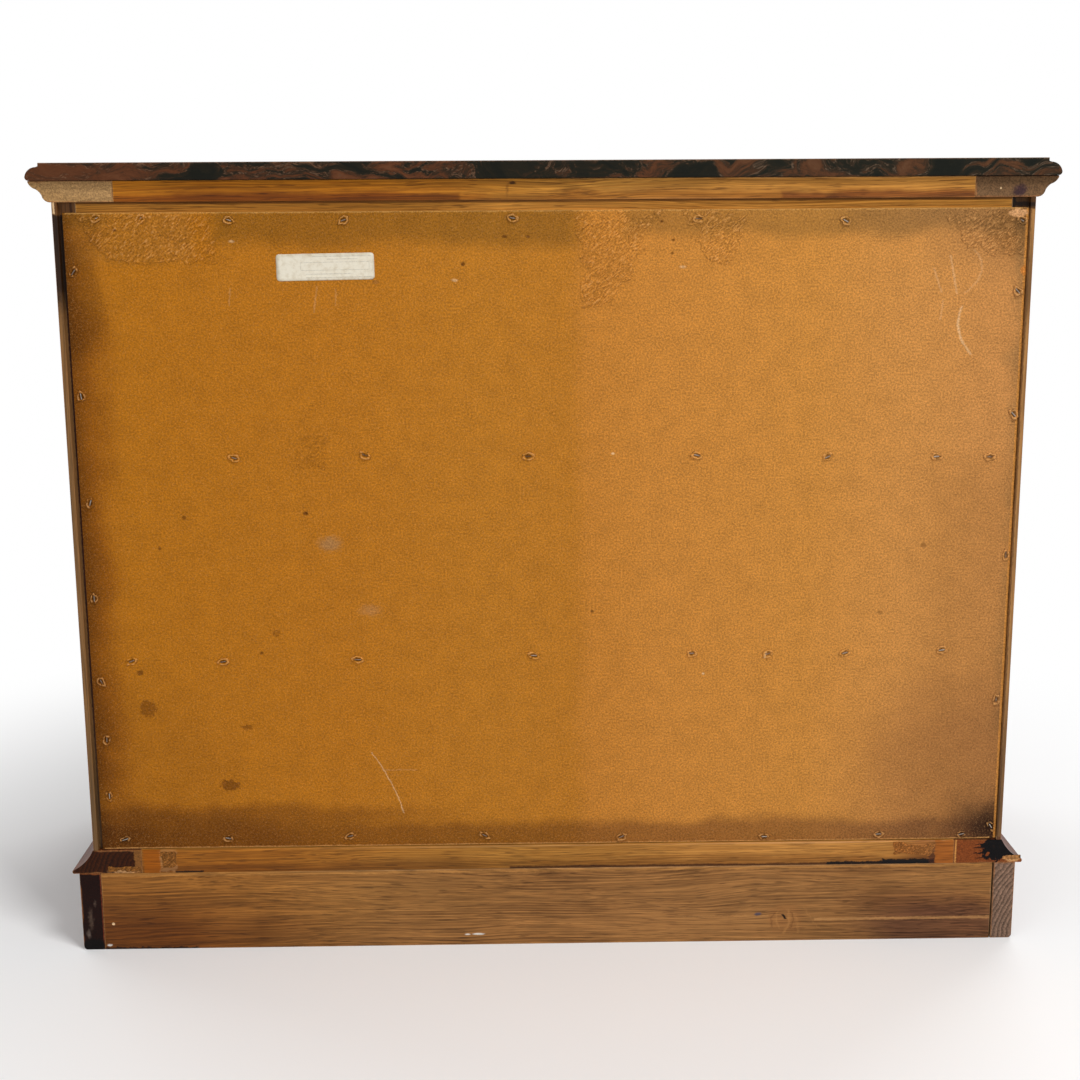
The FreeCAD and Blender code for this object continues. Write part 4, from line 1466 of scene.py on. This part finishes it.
@dataclass
class TornPatch:
    """Fibres torn up from a face of the back, in millimetres.

    Its two sides lean inwards by so much for each millimetre down from the top. Lift is how high
    the fibres stand, cell the size of their lumps, bite that of what noise eats out of the
    outline, in cells, and frayed how far it eats. The patch rises over a margin. Its lumps are
    squeezed by drawn_out along the rising diagonal and across it.
    """

    name: str
    left: float
    right: float
    low: float
    high: float
    left_lean: float = 0.0
    right_lean: float = 0.0
    lift: float = 1.2
    pitch: float = 0.55
    cell: float = 2.0
    seed: int = 1
    sunk: float = 0.25
    frayed: float = 9.0
    bite: float = 6.0
    margin: float = 1.6
    over_top: float = 3.0
    drawn_out: tuple[float, float] = (0.42, 1.3)

    def build(self, face: float, material: bpy.types.Material) -> bpy.types.Object:
        """Makes the patch.

        Height is fractal noise drawn out along the rising diagonal, with a little that is folded
        at its middle into ridges, times how deep a place lies inside the leaning outline. Noise
        eats into the outline, least at its top, and outside it the sheet dips under the face. A
        flat face closes it underneath.

        Args:
            face: The face's place on Y, in metres.
            material: The board's own finish, so that its tones run on.

        Returns:
            The patch.
        """
        columns = int((self.right - self.left) / self.pitch) + 1
        rows = int((self.high - self.low) / self.pitch) + 1
        across, up = np.meshgrid(
            np.linspace(self.left, self.right, columns), np.linspace(self.low, self.high, rows)
        )
        down = self.high - up
        inside = np.minimum.reduce(
            (
                across - self.left - self.left_lean * down,
                self.right - self.right_lean * down - across,
                up - self.low,
                self.high + self.over_top - up,
            )
        )
        eaten = rough_ground(across, up, self.bite * self.cell, self.seed + 20) + 0.3
        inside = inside - self.frayed * np.maximum(eaten, 0.0)
        share = np.clip(inside / self.margin, 0.0, 1.0)
        long, short = self.drawn_out[0] * (across + up), self.drawn_out[1] * (across - up)
        ground = rough_ground(long, short, self.cell, self.seed)
        ridges = 0.75 - np.abs(rough_ground(across, up, 2.4 * self.cell, self.seed + 9)) * 2.6
        height = self.lift * np.clip(0.36 + 1.3 * ground + 0.14 * ridges, 0.06, 1.3)
        height = share * (height + self.sunk) - self.sunk
        rim = np.zeros_like(height, dtype=bool)
        rim[[0, -1], :] = True
        rim[:, [0, -1]] = True
        height = np.where(rim, -self.sunk, height)
        points = on_back(across, up, height, face)
        return add_piece(self.name, points, closed_sheet_faces(rows, columns), material, "case")


@dataclass
class Label:
    """A bare paper label with rounded corners, in millimetres.

    Its empty field is given by its middle and half its size, from the label's own middle, and
    its rules by their height and their two ends.
    """

    across: float = -206.7
    up: float = 682.2
    wide: float = 91.5
    high: float = 24.8
    corner: float = 3.2
    thick: float = 0.16
    underside: float = 0.02
    tilt: float = 0.8
    sides: int = 64
    rings: int = 14
    under_rings: int = 3
    curl: float = 0.35
    curl_waves: float = 14.0
    field_middle: tuple[float, float, float] = (9.0, 0.6, 0.0)
    field_half: tuple[float, float, float] = (32.0, 3.6, 0.0)
    rules: tuple[tuple[float, float, float], ...] = (
        (9.6, -12.0, 43.0),
        (7.0, 2.0, 30.0),
        (-6.6, -18.0, 24.0),
        (-9.8, -18.0, 43.0),
    )

    def build(self, face: float) -> bpy.types.Object:
        """Makes the label.

        The outline at each angle is the centre of the nearest corner plus the corner's radius
        along that angle. Rings of it shrink to the middle above and below, and the paper stands
        off a little by slow noise, as old glue lets it.

        Args:
            face: The panel's face on Y, in metres.

        Returns:
            The label.
        """
        turns = np.linspace(0.0, 2.0 * math.pi, self.sides, endpoint=False) + math.pi / self.sides
        east = np.sign(np.cos(turns)) * (self.wide / 2 - self.corner) + self.corner * np.cos(turns)
        north = np.sign(np.sin(turns)) * (self.high / 2 - self.corner) + self.corner * np.sin(turns)
        above, below = np.linspace(0.0, 1.0, self.rings), np.linspace(1.0, 0.0, self.under_rings)
        shares = np.concatenate((above, below))[:, None]
        x, y = shares * east, shares * north
        on_top = (np.arange(len(shares)) < self.rings)[:, None]
        waves = lattice_noise(x / self.curl_waves + 9, y / self.curl_waves + 9, 5)
        lift = self.thick + self.curl * waves * shares**3
        out = np.where(on_top, lift, self.underside)
        lean = math.radians(self.tilt)
        across = self.across + x * math.cos(lean) - y * math.sin(lean)
        up = self.up + x * math.sin(lean) + y * math.cos(lean)
        points = on_back(across, up, out, face)
        faces = grid_faces(len(shares), self.sides, True)
        return add_piece("paper_label", points, faces, PAPER.dress(self), "case")


@dataclass(frozen=True)
class StapleLine:
    """A line of staples on the back, in millimetres.

    A row lies along a straight line between two heights at the back's two sides, and a column
    along one between two places across, at its foot and its head.
    """

    places: tuple[float, ...]
    start: float
    end: float
    upright: bool = False
    row_span: tuple[float, float] = (-450.0, 450.0)
    column_span: tuple[float, float] = (100.0, 740.0)

    def spots(self) -> np.ndarray:
        """Across, up and turn of each staple.

        Returns:
            One row for each staple; the turn is in radians from level.
        """
        along = np.array(self.places)
        first, last = self.column_span if self.upright else self.row_span
        other = self.start + (self.end - self.start) * (along - first) / (last - first)
        pair = (other, along) if self.upright else (along, other)
        turn = np.full(len(along), math.pi / 2 if self.upright else 0.0)
        return np.stack((*pair, turn), axis=-1)


@dataclass
class BackPanel:
    """The hardboard back: staples in torn craters, torn patches, a bare label, in millimetres.

    Crown is half the width of a staple, and the wire's two sizes are halves too. Chance moves a
    staple about and turns it a little. Squared is the power of the wire's line, and flattened
    that of its section.
    """

    crown: float = 3.1
    wire_wide: float = 0.5
    wire_thick: float = 0.3
    wire_stands: float = 0.55
    leg: float = 2.2
    crater_long: float = 6.6
    crater_short: float = 4.4
    crater_lift: float = 1.9
    crater_sides: int = 28
    wire_rings: int = 22
    wire_sides: int = 10
    squared: float = 1.0 / 3.0
    flattened: float = 0.6
    stray: tuple[float, float] = (2.0, 1.6)
    turned: float = 0.35
    seed: int = 4
    lines: tuple[StapleLine, ...] = (
        StapleLine((-420, -377, -297, -187, -32, 143, 279, 447), 728.0, 720.5),
        StapleLine((-301, -175, -20, 144, 270, 374, 425), 505.0, 498.0),
        StapleLine((-408, -321, -189, -13, 141, 216, 291, 388), 300.5, 304.5),
        StapleLine((-424, -322, -200, -65, 71, 218, 334, 417), 118.5, 111.5),
        StapleLine((164, 222, 283, 365, 460, 562, 680), -438.5, -442.5, True),
        StapleLine((120, 254, 401, 539, 655), 446.5, 446.5, True),
    )
    patches: tuple[TornPatch, ...] = (
        TornPatch("torn_patch_left", -443, -306, 684, 732, 0.66, 0.0, seed=3),
        TornPatch("torn_patch_middle", 23, 112, 640, 732, 0.10, 0.50, seed=31, frayed=13),
        TornPatch("torn_patch_right", 126, 197, 678, 732, 0.36, 0.42, seed=57, frayed=13),
        TornPatch("torn_patch_corner", 370, 450.5, 686, 732, 0.50, 0.0, seed=83, frayed=14),
        TornPatch("torn_patch_small", -243, -207, 488, 524, lift=0.5, seed=97, frayed=16),
    )

    def build(self) -> None:
        """Finishes the panel and makes what is on it."""
        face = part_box("back_panel")[1].y
        marks = (*PANEL_VEILS, *PANEL_EDGES, *PANEL_SPOTS, *PANEL_SCUFFS)
        finish_node("back_panel", BACK_BOARD.dress(marks), 0.3 * MM)
        # Torn fibre, with painted shade in its hollows.
        torn = BACK_BOARD.dress(marks, face)
        for patch in self.patches:
            patch.build(face, torn)
        spots = np.concatenate([line.spots() for line in self.lines])
        chance = np.random.default_rng(self.seed)
        for part, stray in enumerate(self.stray):
            spots[:, part] += chance.uniform(-stray, stray, len(spots))
        spots[:, 2] += chance.normal(0.0, self.turned, len(spots))
        # The craters' torn fibre, with deeper painted shade in its hollows.
        rims = BACK_BOARD.dress(marks, face, 0.42)
        self.build_craters(spots, face, rims)
        self.build_staples(spots, face)
        Label().build(face)

    def build_craters(
        self, spots: np.ndarray, face: float, torn: bpy.types.Material
    ) -> bpy.types.Object:
        """Makes the ring of torn fibre round each staple.

        A profile of radius and height, from the middle over the rim and back beneath, is turned
        round an oval. Noise at each turn and staple makes the rim ragged and higher on one side.

        Args:
            spots: Across, up and turn of each staple.
            face: The panel's face on Y, in metres.
            torn: The finish of torn fibre, with painted shade in its hollows.

        Returns:
            The craters, as one piece.
        """
        radius = np.array((0.0, 0.30, 0.48, 0.62, 0.74, 0.86, 1.0, 0.0))
        height = np.array((0.04, 0.05, 0.2, 0.9, 1.0, 0.5, -0.3, -0.3))
        turns = np.linspace(0.0, 2.0 * math.pi, self.crater_sides, endpoint=False)
        number = np.arange(len(spots))[:, None, None]
        x, y = 2.2 * np.cos(turns) + 5.0, 2.2 * np.sin(turns) + 5.0
        ragged = lattice_noise(x + 11.0 * number, y + 7.0 * number, 12)
        lumps = lattice_noise(x + 5.0 * number, y + 3.0 * number, 47)
        reach = radius[None, :, None] * (0.72 + 0.5 * ragged)
        rise = height[None, :, None] * np.where(height[:, None] > 0.1, 0.1 + 1.2 * lumps, 1.0)
        along = self.crater_long * reach * np.cos(turns)
        beside = self.crater_short * reach * np.sin(turns)
        shape = (along, beside, self.crater_lift * rise)
        faces = grid_faces(len(radius), len(turns), True).tolist()
        return add_copies("staple_craters", spots, shape, faces, face, torn)

    def build_staples(self, spots: np.ndarray, face: float) -> bpy.types.Object:
        """Makes the staples.

        The wire's line is half a superellipse of power six, whose legs go into the board. Its
        section is a superellipse too, flat and wide, which shrinks to nothing at both ends. Some
        are driven deeper than others, by the sine of their number.

        Args:
            spots: Across, up and turn of each staple.
            face: The panel's face on Y, in metres.

        Returns:
            The staples, as one piece.
        """
        path = np.linspace(0.0, math.pi, self.wire_rings)
        line = -self.crown * np.sign(np.cos(path)) * np.abs(np.cos(path)) ** self.squared
        stand = (self.leg + self.wire_stands) * np.abs(np.sin(path)) ** self.squared - self.leg
        slope = np.arctan2(np.gradient(stand), np.gradient(line))
        size = np.ones(len(path))
        size[[0, -1]] = 0.0
        turns = np.linspace(0.0, 2.0 * math.pi, self.wire_sides, endpoint=False)
        high, wide = (
            half * np.sign(part) * np.abs(part) ** self.flattened
            for half, part in ((self.wire_thick, np.sin(turns)), (self.wire_wide, np.cos(turns)))
        )
        thick = size[:, None] * high
        along = (line[:, None] - np.sin(slope)[:, None] * thick)[None]
        sunk = 0.3 * (1.0 + np.sin(7.3 * np.arange(len(spots))))[:, None, None]
        out = (stand[:, None] + np.cos(slope)[:, None] * thick)[None] - sunk
        beside = (size[:, None] * wide)[None]
        faces = grid_faces(len(path), len(turns), True).tolist()
        return add_copies("back_staples", spots, (along, beside, out), faces, face, WIRE.dress())


@dataclass
class BaseTears:
    """Splinters at the two ends of the base frame's back, where glue and tape were pulled off."""

    patches: tuple[TornPatch, ...] = (
        TornPatch("base_tear_left", -392, -374, 83.5, 105, lift=0.7, seed=11, frayed=8),
        TornPatch("base_tear_left_end", -445, -408, 83, 90, lift=0.7, seed=17, frayed=8),
        TornPatch("base_tear_right", 346, 394, 88, 106, lift=0.4, seed=23, frayed=15),
        TornPatch("base_tear_right_end", 457, 478, 83, 90, lift=0.7, seed=29, frayed=6),
    )

    def build(self) -> None:
        """Makes the splinters."""
        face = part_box("base_frame_back")[1].y
        # Splintered wood, with painted shade in its hollows.
        material = SPLINTERS.dress((), face, 0.5)
        for patch in self.patches:
            patch.build(face, material)


@dataclass
class Drawer:
    """One drawer with its two pulls, and the screws that hold them from inside.

    Its screws' sizes are in millimetres, and their slots are turned a step further each. A head
    has so many rows of points along its slot, and so many columns on each side of it.
    """

    name: str
    tone: float
    pull_across: float = 0.25
    post_apart: float = 38.1 * MM
    screw_radius: float = 3.9
    screw_stands: float = 2.3
    slot_half: float = 0.55
    slot_deep: float = 1.3
    screw_rows: int = 17
    screw_columns: int = 6
    first_turn: float = 0.7
    turn_step: float = 1.9
    domed: float = 0.72
    brass_crease: float = 42.0

    def build(self) -> None:
        """Finishes the drawer's boards and pulls and adds the screws."""
        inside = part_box(f"{self.name}_front")[1].y
        finish_board(
            f"{self.name}_front",
            SHOW_WOOD,
            heart=(-0.012, -0.07 * self.tone),
            tone=self.tone,
            bare=unstained(f"{self.name}_front", 1, 1.0, 0.4 * MM),
        )
        for node in ("side_left", "side_right", "back", "centre_runner"):
            finish_board(f"{self.name}_{node}", DRAWER_WOOD, ease=0.3 * MM, tone=self.tone)
        finish_node(f"{self.name}_bottom", PLY.dress(), 0.0)
        for node in ("pull_posts", "bail_left", "bail_right"):
            finish_node(f"{self.name}_{node}", BRASS.dress(), 0.0, self.brass_crease)
        self.build_screws(inside)

    def build_screws(self, inside: float) -> bpy.types.Object:
        """Makes the slotted round heads on the inner face of the front.

        On each line across the head, points are spread to the circle's edge, with the middle
        ones held at the slot's walls, where they drop to its floor. Height is a dome that falls
        with the fourth power of the distance from the middle.

        Args:
            inside: The inner face of the front on Y, in metres.

        Returns:
            The screws, as one piece.
        """
        low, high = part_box(f"{self.name}_pull_posts")
        height = (low.z + high.z) / 2.0 / MM
        wall = self.slot_half / self.screw_radius
        limit = math.sqrt(1.0 - wall**2)
        rows = np.sin(np.linspace(-1.0, 1.0, self.screw_rows) * math.pi / 2) * limit
        half = np.sqrt(1.0 - rows**2)[:, None]
        outer = np.linspace(0.0, 1.0, self.screw_columns)
        right = wall + outer * (half - wall)
        edge = np.full_like(half, wall)
        x = np.concatenate((-right[:, ::-1], -edge, edge, right), axis=1)
        y = np.broadcast_to(rows[:, None], x.shape)
        dome = self.screw_stands * (1.0 - self.domed * (x**2 + y**2) ** 2)
        in_slot = np.zeros(x.shape[1], dtype=bool)
        in_slot[[self.screw_columns, self.screw_columns + 1]] = True
        out = np.where(in_slot, self.screw_stands - self.slot_deep, dome)
        x, y, out = (np.pad(part, 1, mode="edge") for part in (x, y, out))
        out[[0, -1], :] = 0.0
        out[:, [0, -1]] = 0.0
        places = [
            side * self.pull_across + post * self.post_apart for side in (-1, 1) for post in (-1, 1)
        ]
        spots = np.array(
            [
                (-place / MM, height, self.first_turn + self.turn_step * count)
                for count, place in enumerate(places)
            ]
        )
        return add_copies(
            f"{self.name}_pull_screws",
            spots,
            (self.screw_radius * x, self.screw_radius * y, out),
            closed_sheet_faces(*x.shape),
            inside,
            SCREW_STEEL.dress(),
            self.name,
        )


@dataclass
class Studio:
    """A pale floor, soft lamps, a white background and the photograph's camera.

    The camera's place and turns come from fitting the chest's own corners to the photograph: how
    far it looks down, how far aside, and how far it is rolled, in radians. Its focus is in pixels
    of the photograph. Sky is the world's strength, mirrored what reflections see more of it.
    """

    camera_at: tuple[float, float, float] = (0.0322543, 1.72833, 0.72989)
    look_down: float = 0.201312
    look_aside: float = 0.0162928
    roll: float = -0.00599488
    sensor: float = 36.0
    focus_px: float = 1600.0
    photo_px: float = 1080.0
    sky: float = 0.42
    mirrored: float = 0.2
    floor_size: float = 14.0
    floor_colour: Rgb = (0.86, 0.86, 0.86)
    floor_fade: tuple[float, float] = (0.5, 1.15)
    lamp_aim: tuple[float, float, float] = (0.0, 0.0, 0.4)
    mirrored_above: float = 2.5
    lamps: tuple[tuple[str, tuple[float, float, float], float, float], ...] = (
        ("key_lamp", (-1.2, 1.7, 3.1), 1.0, 72.0),
        ("fill_lamp", (2.2, 3.2, 1.6), 2.4, 26.0),
        ("front_lamp", (-1.8, -2.9, 2.7), 2.4, 58.0),
        ("front_fill_lamp", (2.6, -2.4, 2.0), 2.4, 30.0),
    )

    def build(self) -> None:
        """Sets up everything round the object."""
        scene = bpy.context.scene
        scene.view_settings.view_transform = "Standard"
        self.build_floor()
        self.build_sky(scene)
        for name, place, size, power in self.lamps:
            self.build_lamp(name, place, size, power)
        self.build_camera(scene)

    def build_floor(self) -> None:
        """The floor: it keeps the object's shadow, and fades to white about a metre away."""
        half = self.floor_size / 2.0
        side = np.linspace(-half, half, 3)
        x, y = np.meshgrid(side, side)
        points = np.stack((x, y, 0.0 * x), axis=-1).reshape(-1, 3)
        mesh = bpy.data.meshes.new("floor")
        mesh.from_pydata(points.tolist(), [], grid_faces(3, 3).tolist())
        floor = bpy.data.objects.new("floor", mesh)
        bpy.context.scene.collection.objects.link(floor)
        surface = Surface("pale_floor")
        away = (surface.place * (1.0, 1.0, 0.0)).length().ramp(*self.floor_fade)
        seen = surface.node("ShaderNodeLightPath", out="Is Camera Ray")
        lit = surface.node(
            "ShaderNodeBsdfPrincipled", None, {"Base Color": self.floor_colour, "Roughness": 0.9}
        )
        white = surface.node("ShaderNodeEmission", None, {"Color": (1.0, 1.0, 1.0)})
        mixed = surface.node("ShaderNodeMixShader", None, {0: away * seen, 1: lit, 2: white})
        surface.node("ShaderNodeOutputMaterial", None, {"Surface": mixed})
        mesh.materials.append(surface.material)

    def build_sky(self, scene: bpy.types.Scene) -> None:
        """White where the camera sees it, dimmer in reflections, and a plain soft light elsewhere.

        Args:
            scene: The scene, which gets a new world.
        """
        scene.world = bpy.data.worlds.new("white_room")
        scene.world.use_nodes = True
        nodes = Nodes(scene.world.node_tree)
        seen = nodes.node("ShaderNodeLightPath", out="Is Camera Ray")
        mirrored = nodes.node("ShaderNodeLightPath", out="Is Glossy Ray")
        strength = seen * (1.0 - self.sky) + mirrored * self.mirrored + self.sky
        white = {"Color": (1.0, 1.0, 1.0), "Strength": strength}
        sky = nodes.node("ShaderNodeBackground", None, white)
        nodes.node("ShaderNodeOutputWorld", None, {"Surface": sky})

    def build_lamp(
        self, name: str, place: tuple[float, float, float], size: float, power: float
    ) -> None:
        """Adds a square soft lamp that faces the middle of the chest.

        A low one stays out of reflections, where the polished top would mirror it.

        Args:
            name: Its name.
            place: Where it stands, in metres.
            size: Its side in metres.
            power: Its power in watts.
        """
        lamp = bpy.data.lights.new(name, "AREA")
        lamp.size = size
        lamp.energy = power
        holder = bpy.data.objects.new(name, lamp)
        holder.location = place
        holder.visible_glossy = place[2] > self.mirrored_above
        holder.rotation_mode = "QUATERNION"
        aim = Vector(self.lamp_aim) - Vector(place)
        holder.rotation_quaternion = aim.to_track_quat("-Z", "Y")
        bpy.context.scene.collection.objects.link(holder)

    def build_camera(self, scene: bpy.types.Scene) -> None:
        """Adds the camera.

        Looking from behind, forward is down by look_down and aside by look_aside. Right is level
        and square to it, up is square to both, and the roll turns these two about forward.

        Args:
            scene: The scene that it belongs to.
        """
        down, aside, roll = self.look_down, self.look_aside, self.roll
        forward = Vector(
            (-math.sin(aside) * math.cos(down), -math.cos(aside) * math.cos(down), -math.sin(down))
        )
        level = Vector((-math.cos(aside), math.sin(aside), 0.0))
        top = level.cross(forward)
        right = level * math.cos(roll) + top * math.sin(roll)
        up = top * math.cos(roll) - level * math.sin(roll)
        data = bpy.data.cameras.new("camera")
        data.sensor_width = self.sensor
        data.lens = self.sensor * self.focus_px / self.photo_px
        camera = bpy.data.objects.new("camera", data)
        turn = Matrix((right, up, -forward)).transposed()
        camera.matrix_world = Matrix.Translation(self.camera_at) @ turn.to_4x4()
        scene.collection.objects.link(camera)
        scene.camera = camera


def main() -> None:
    """Dresses the chest from the camera inwards and reports each assembly."""
    logging.basicConfig(level=logging.INFO, format="%(name)s %(message)s")
    drawers = [
        Drawer(f"{level}_drawer", tone)
        for level, tone in (("bottom", 0.96), ("middle", 1.0), ("top", 1.05))
    ]
    assemblies = (
        Studio(),
        StoneSlab(),
        MouldedFrames(),
        Case(),
        BackPanel(),
        BaseTears(),
        *drawers,
    )
    for assembly in assemblies:
        LOG.info("building %s", assembly.__class__.__name__)
        assembly.build()


if __name__ == "__main__":
    main()
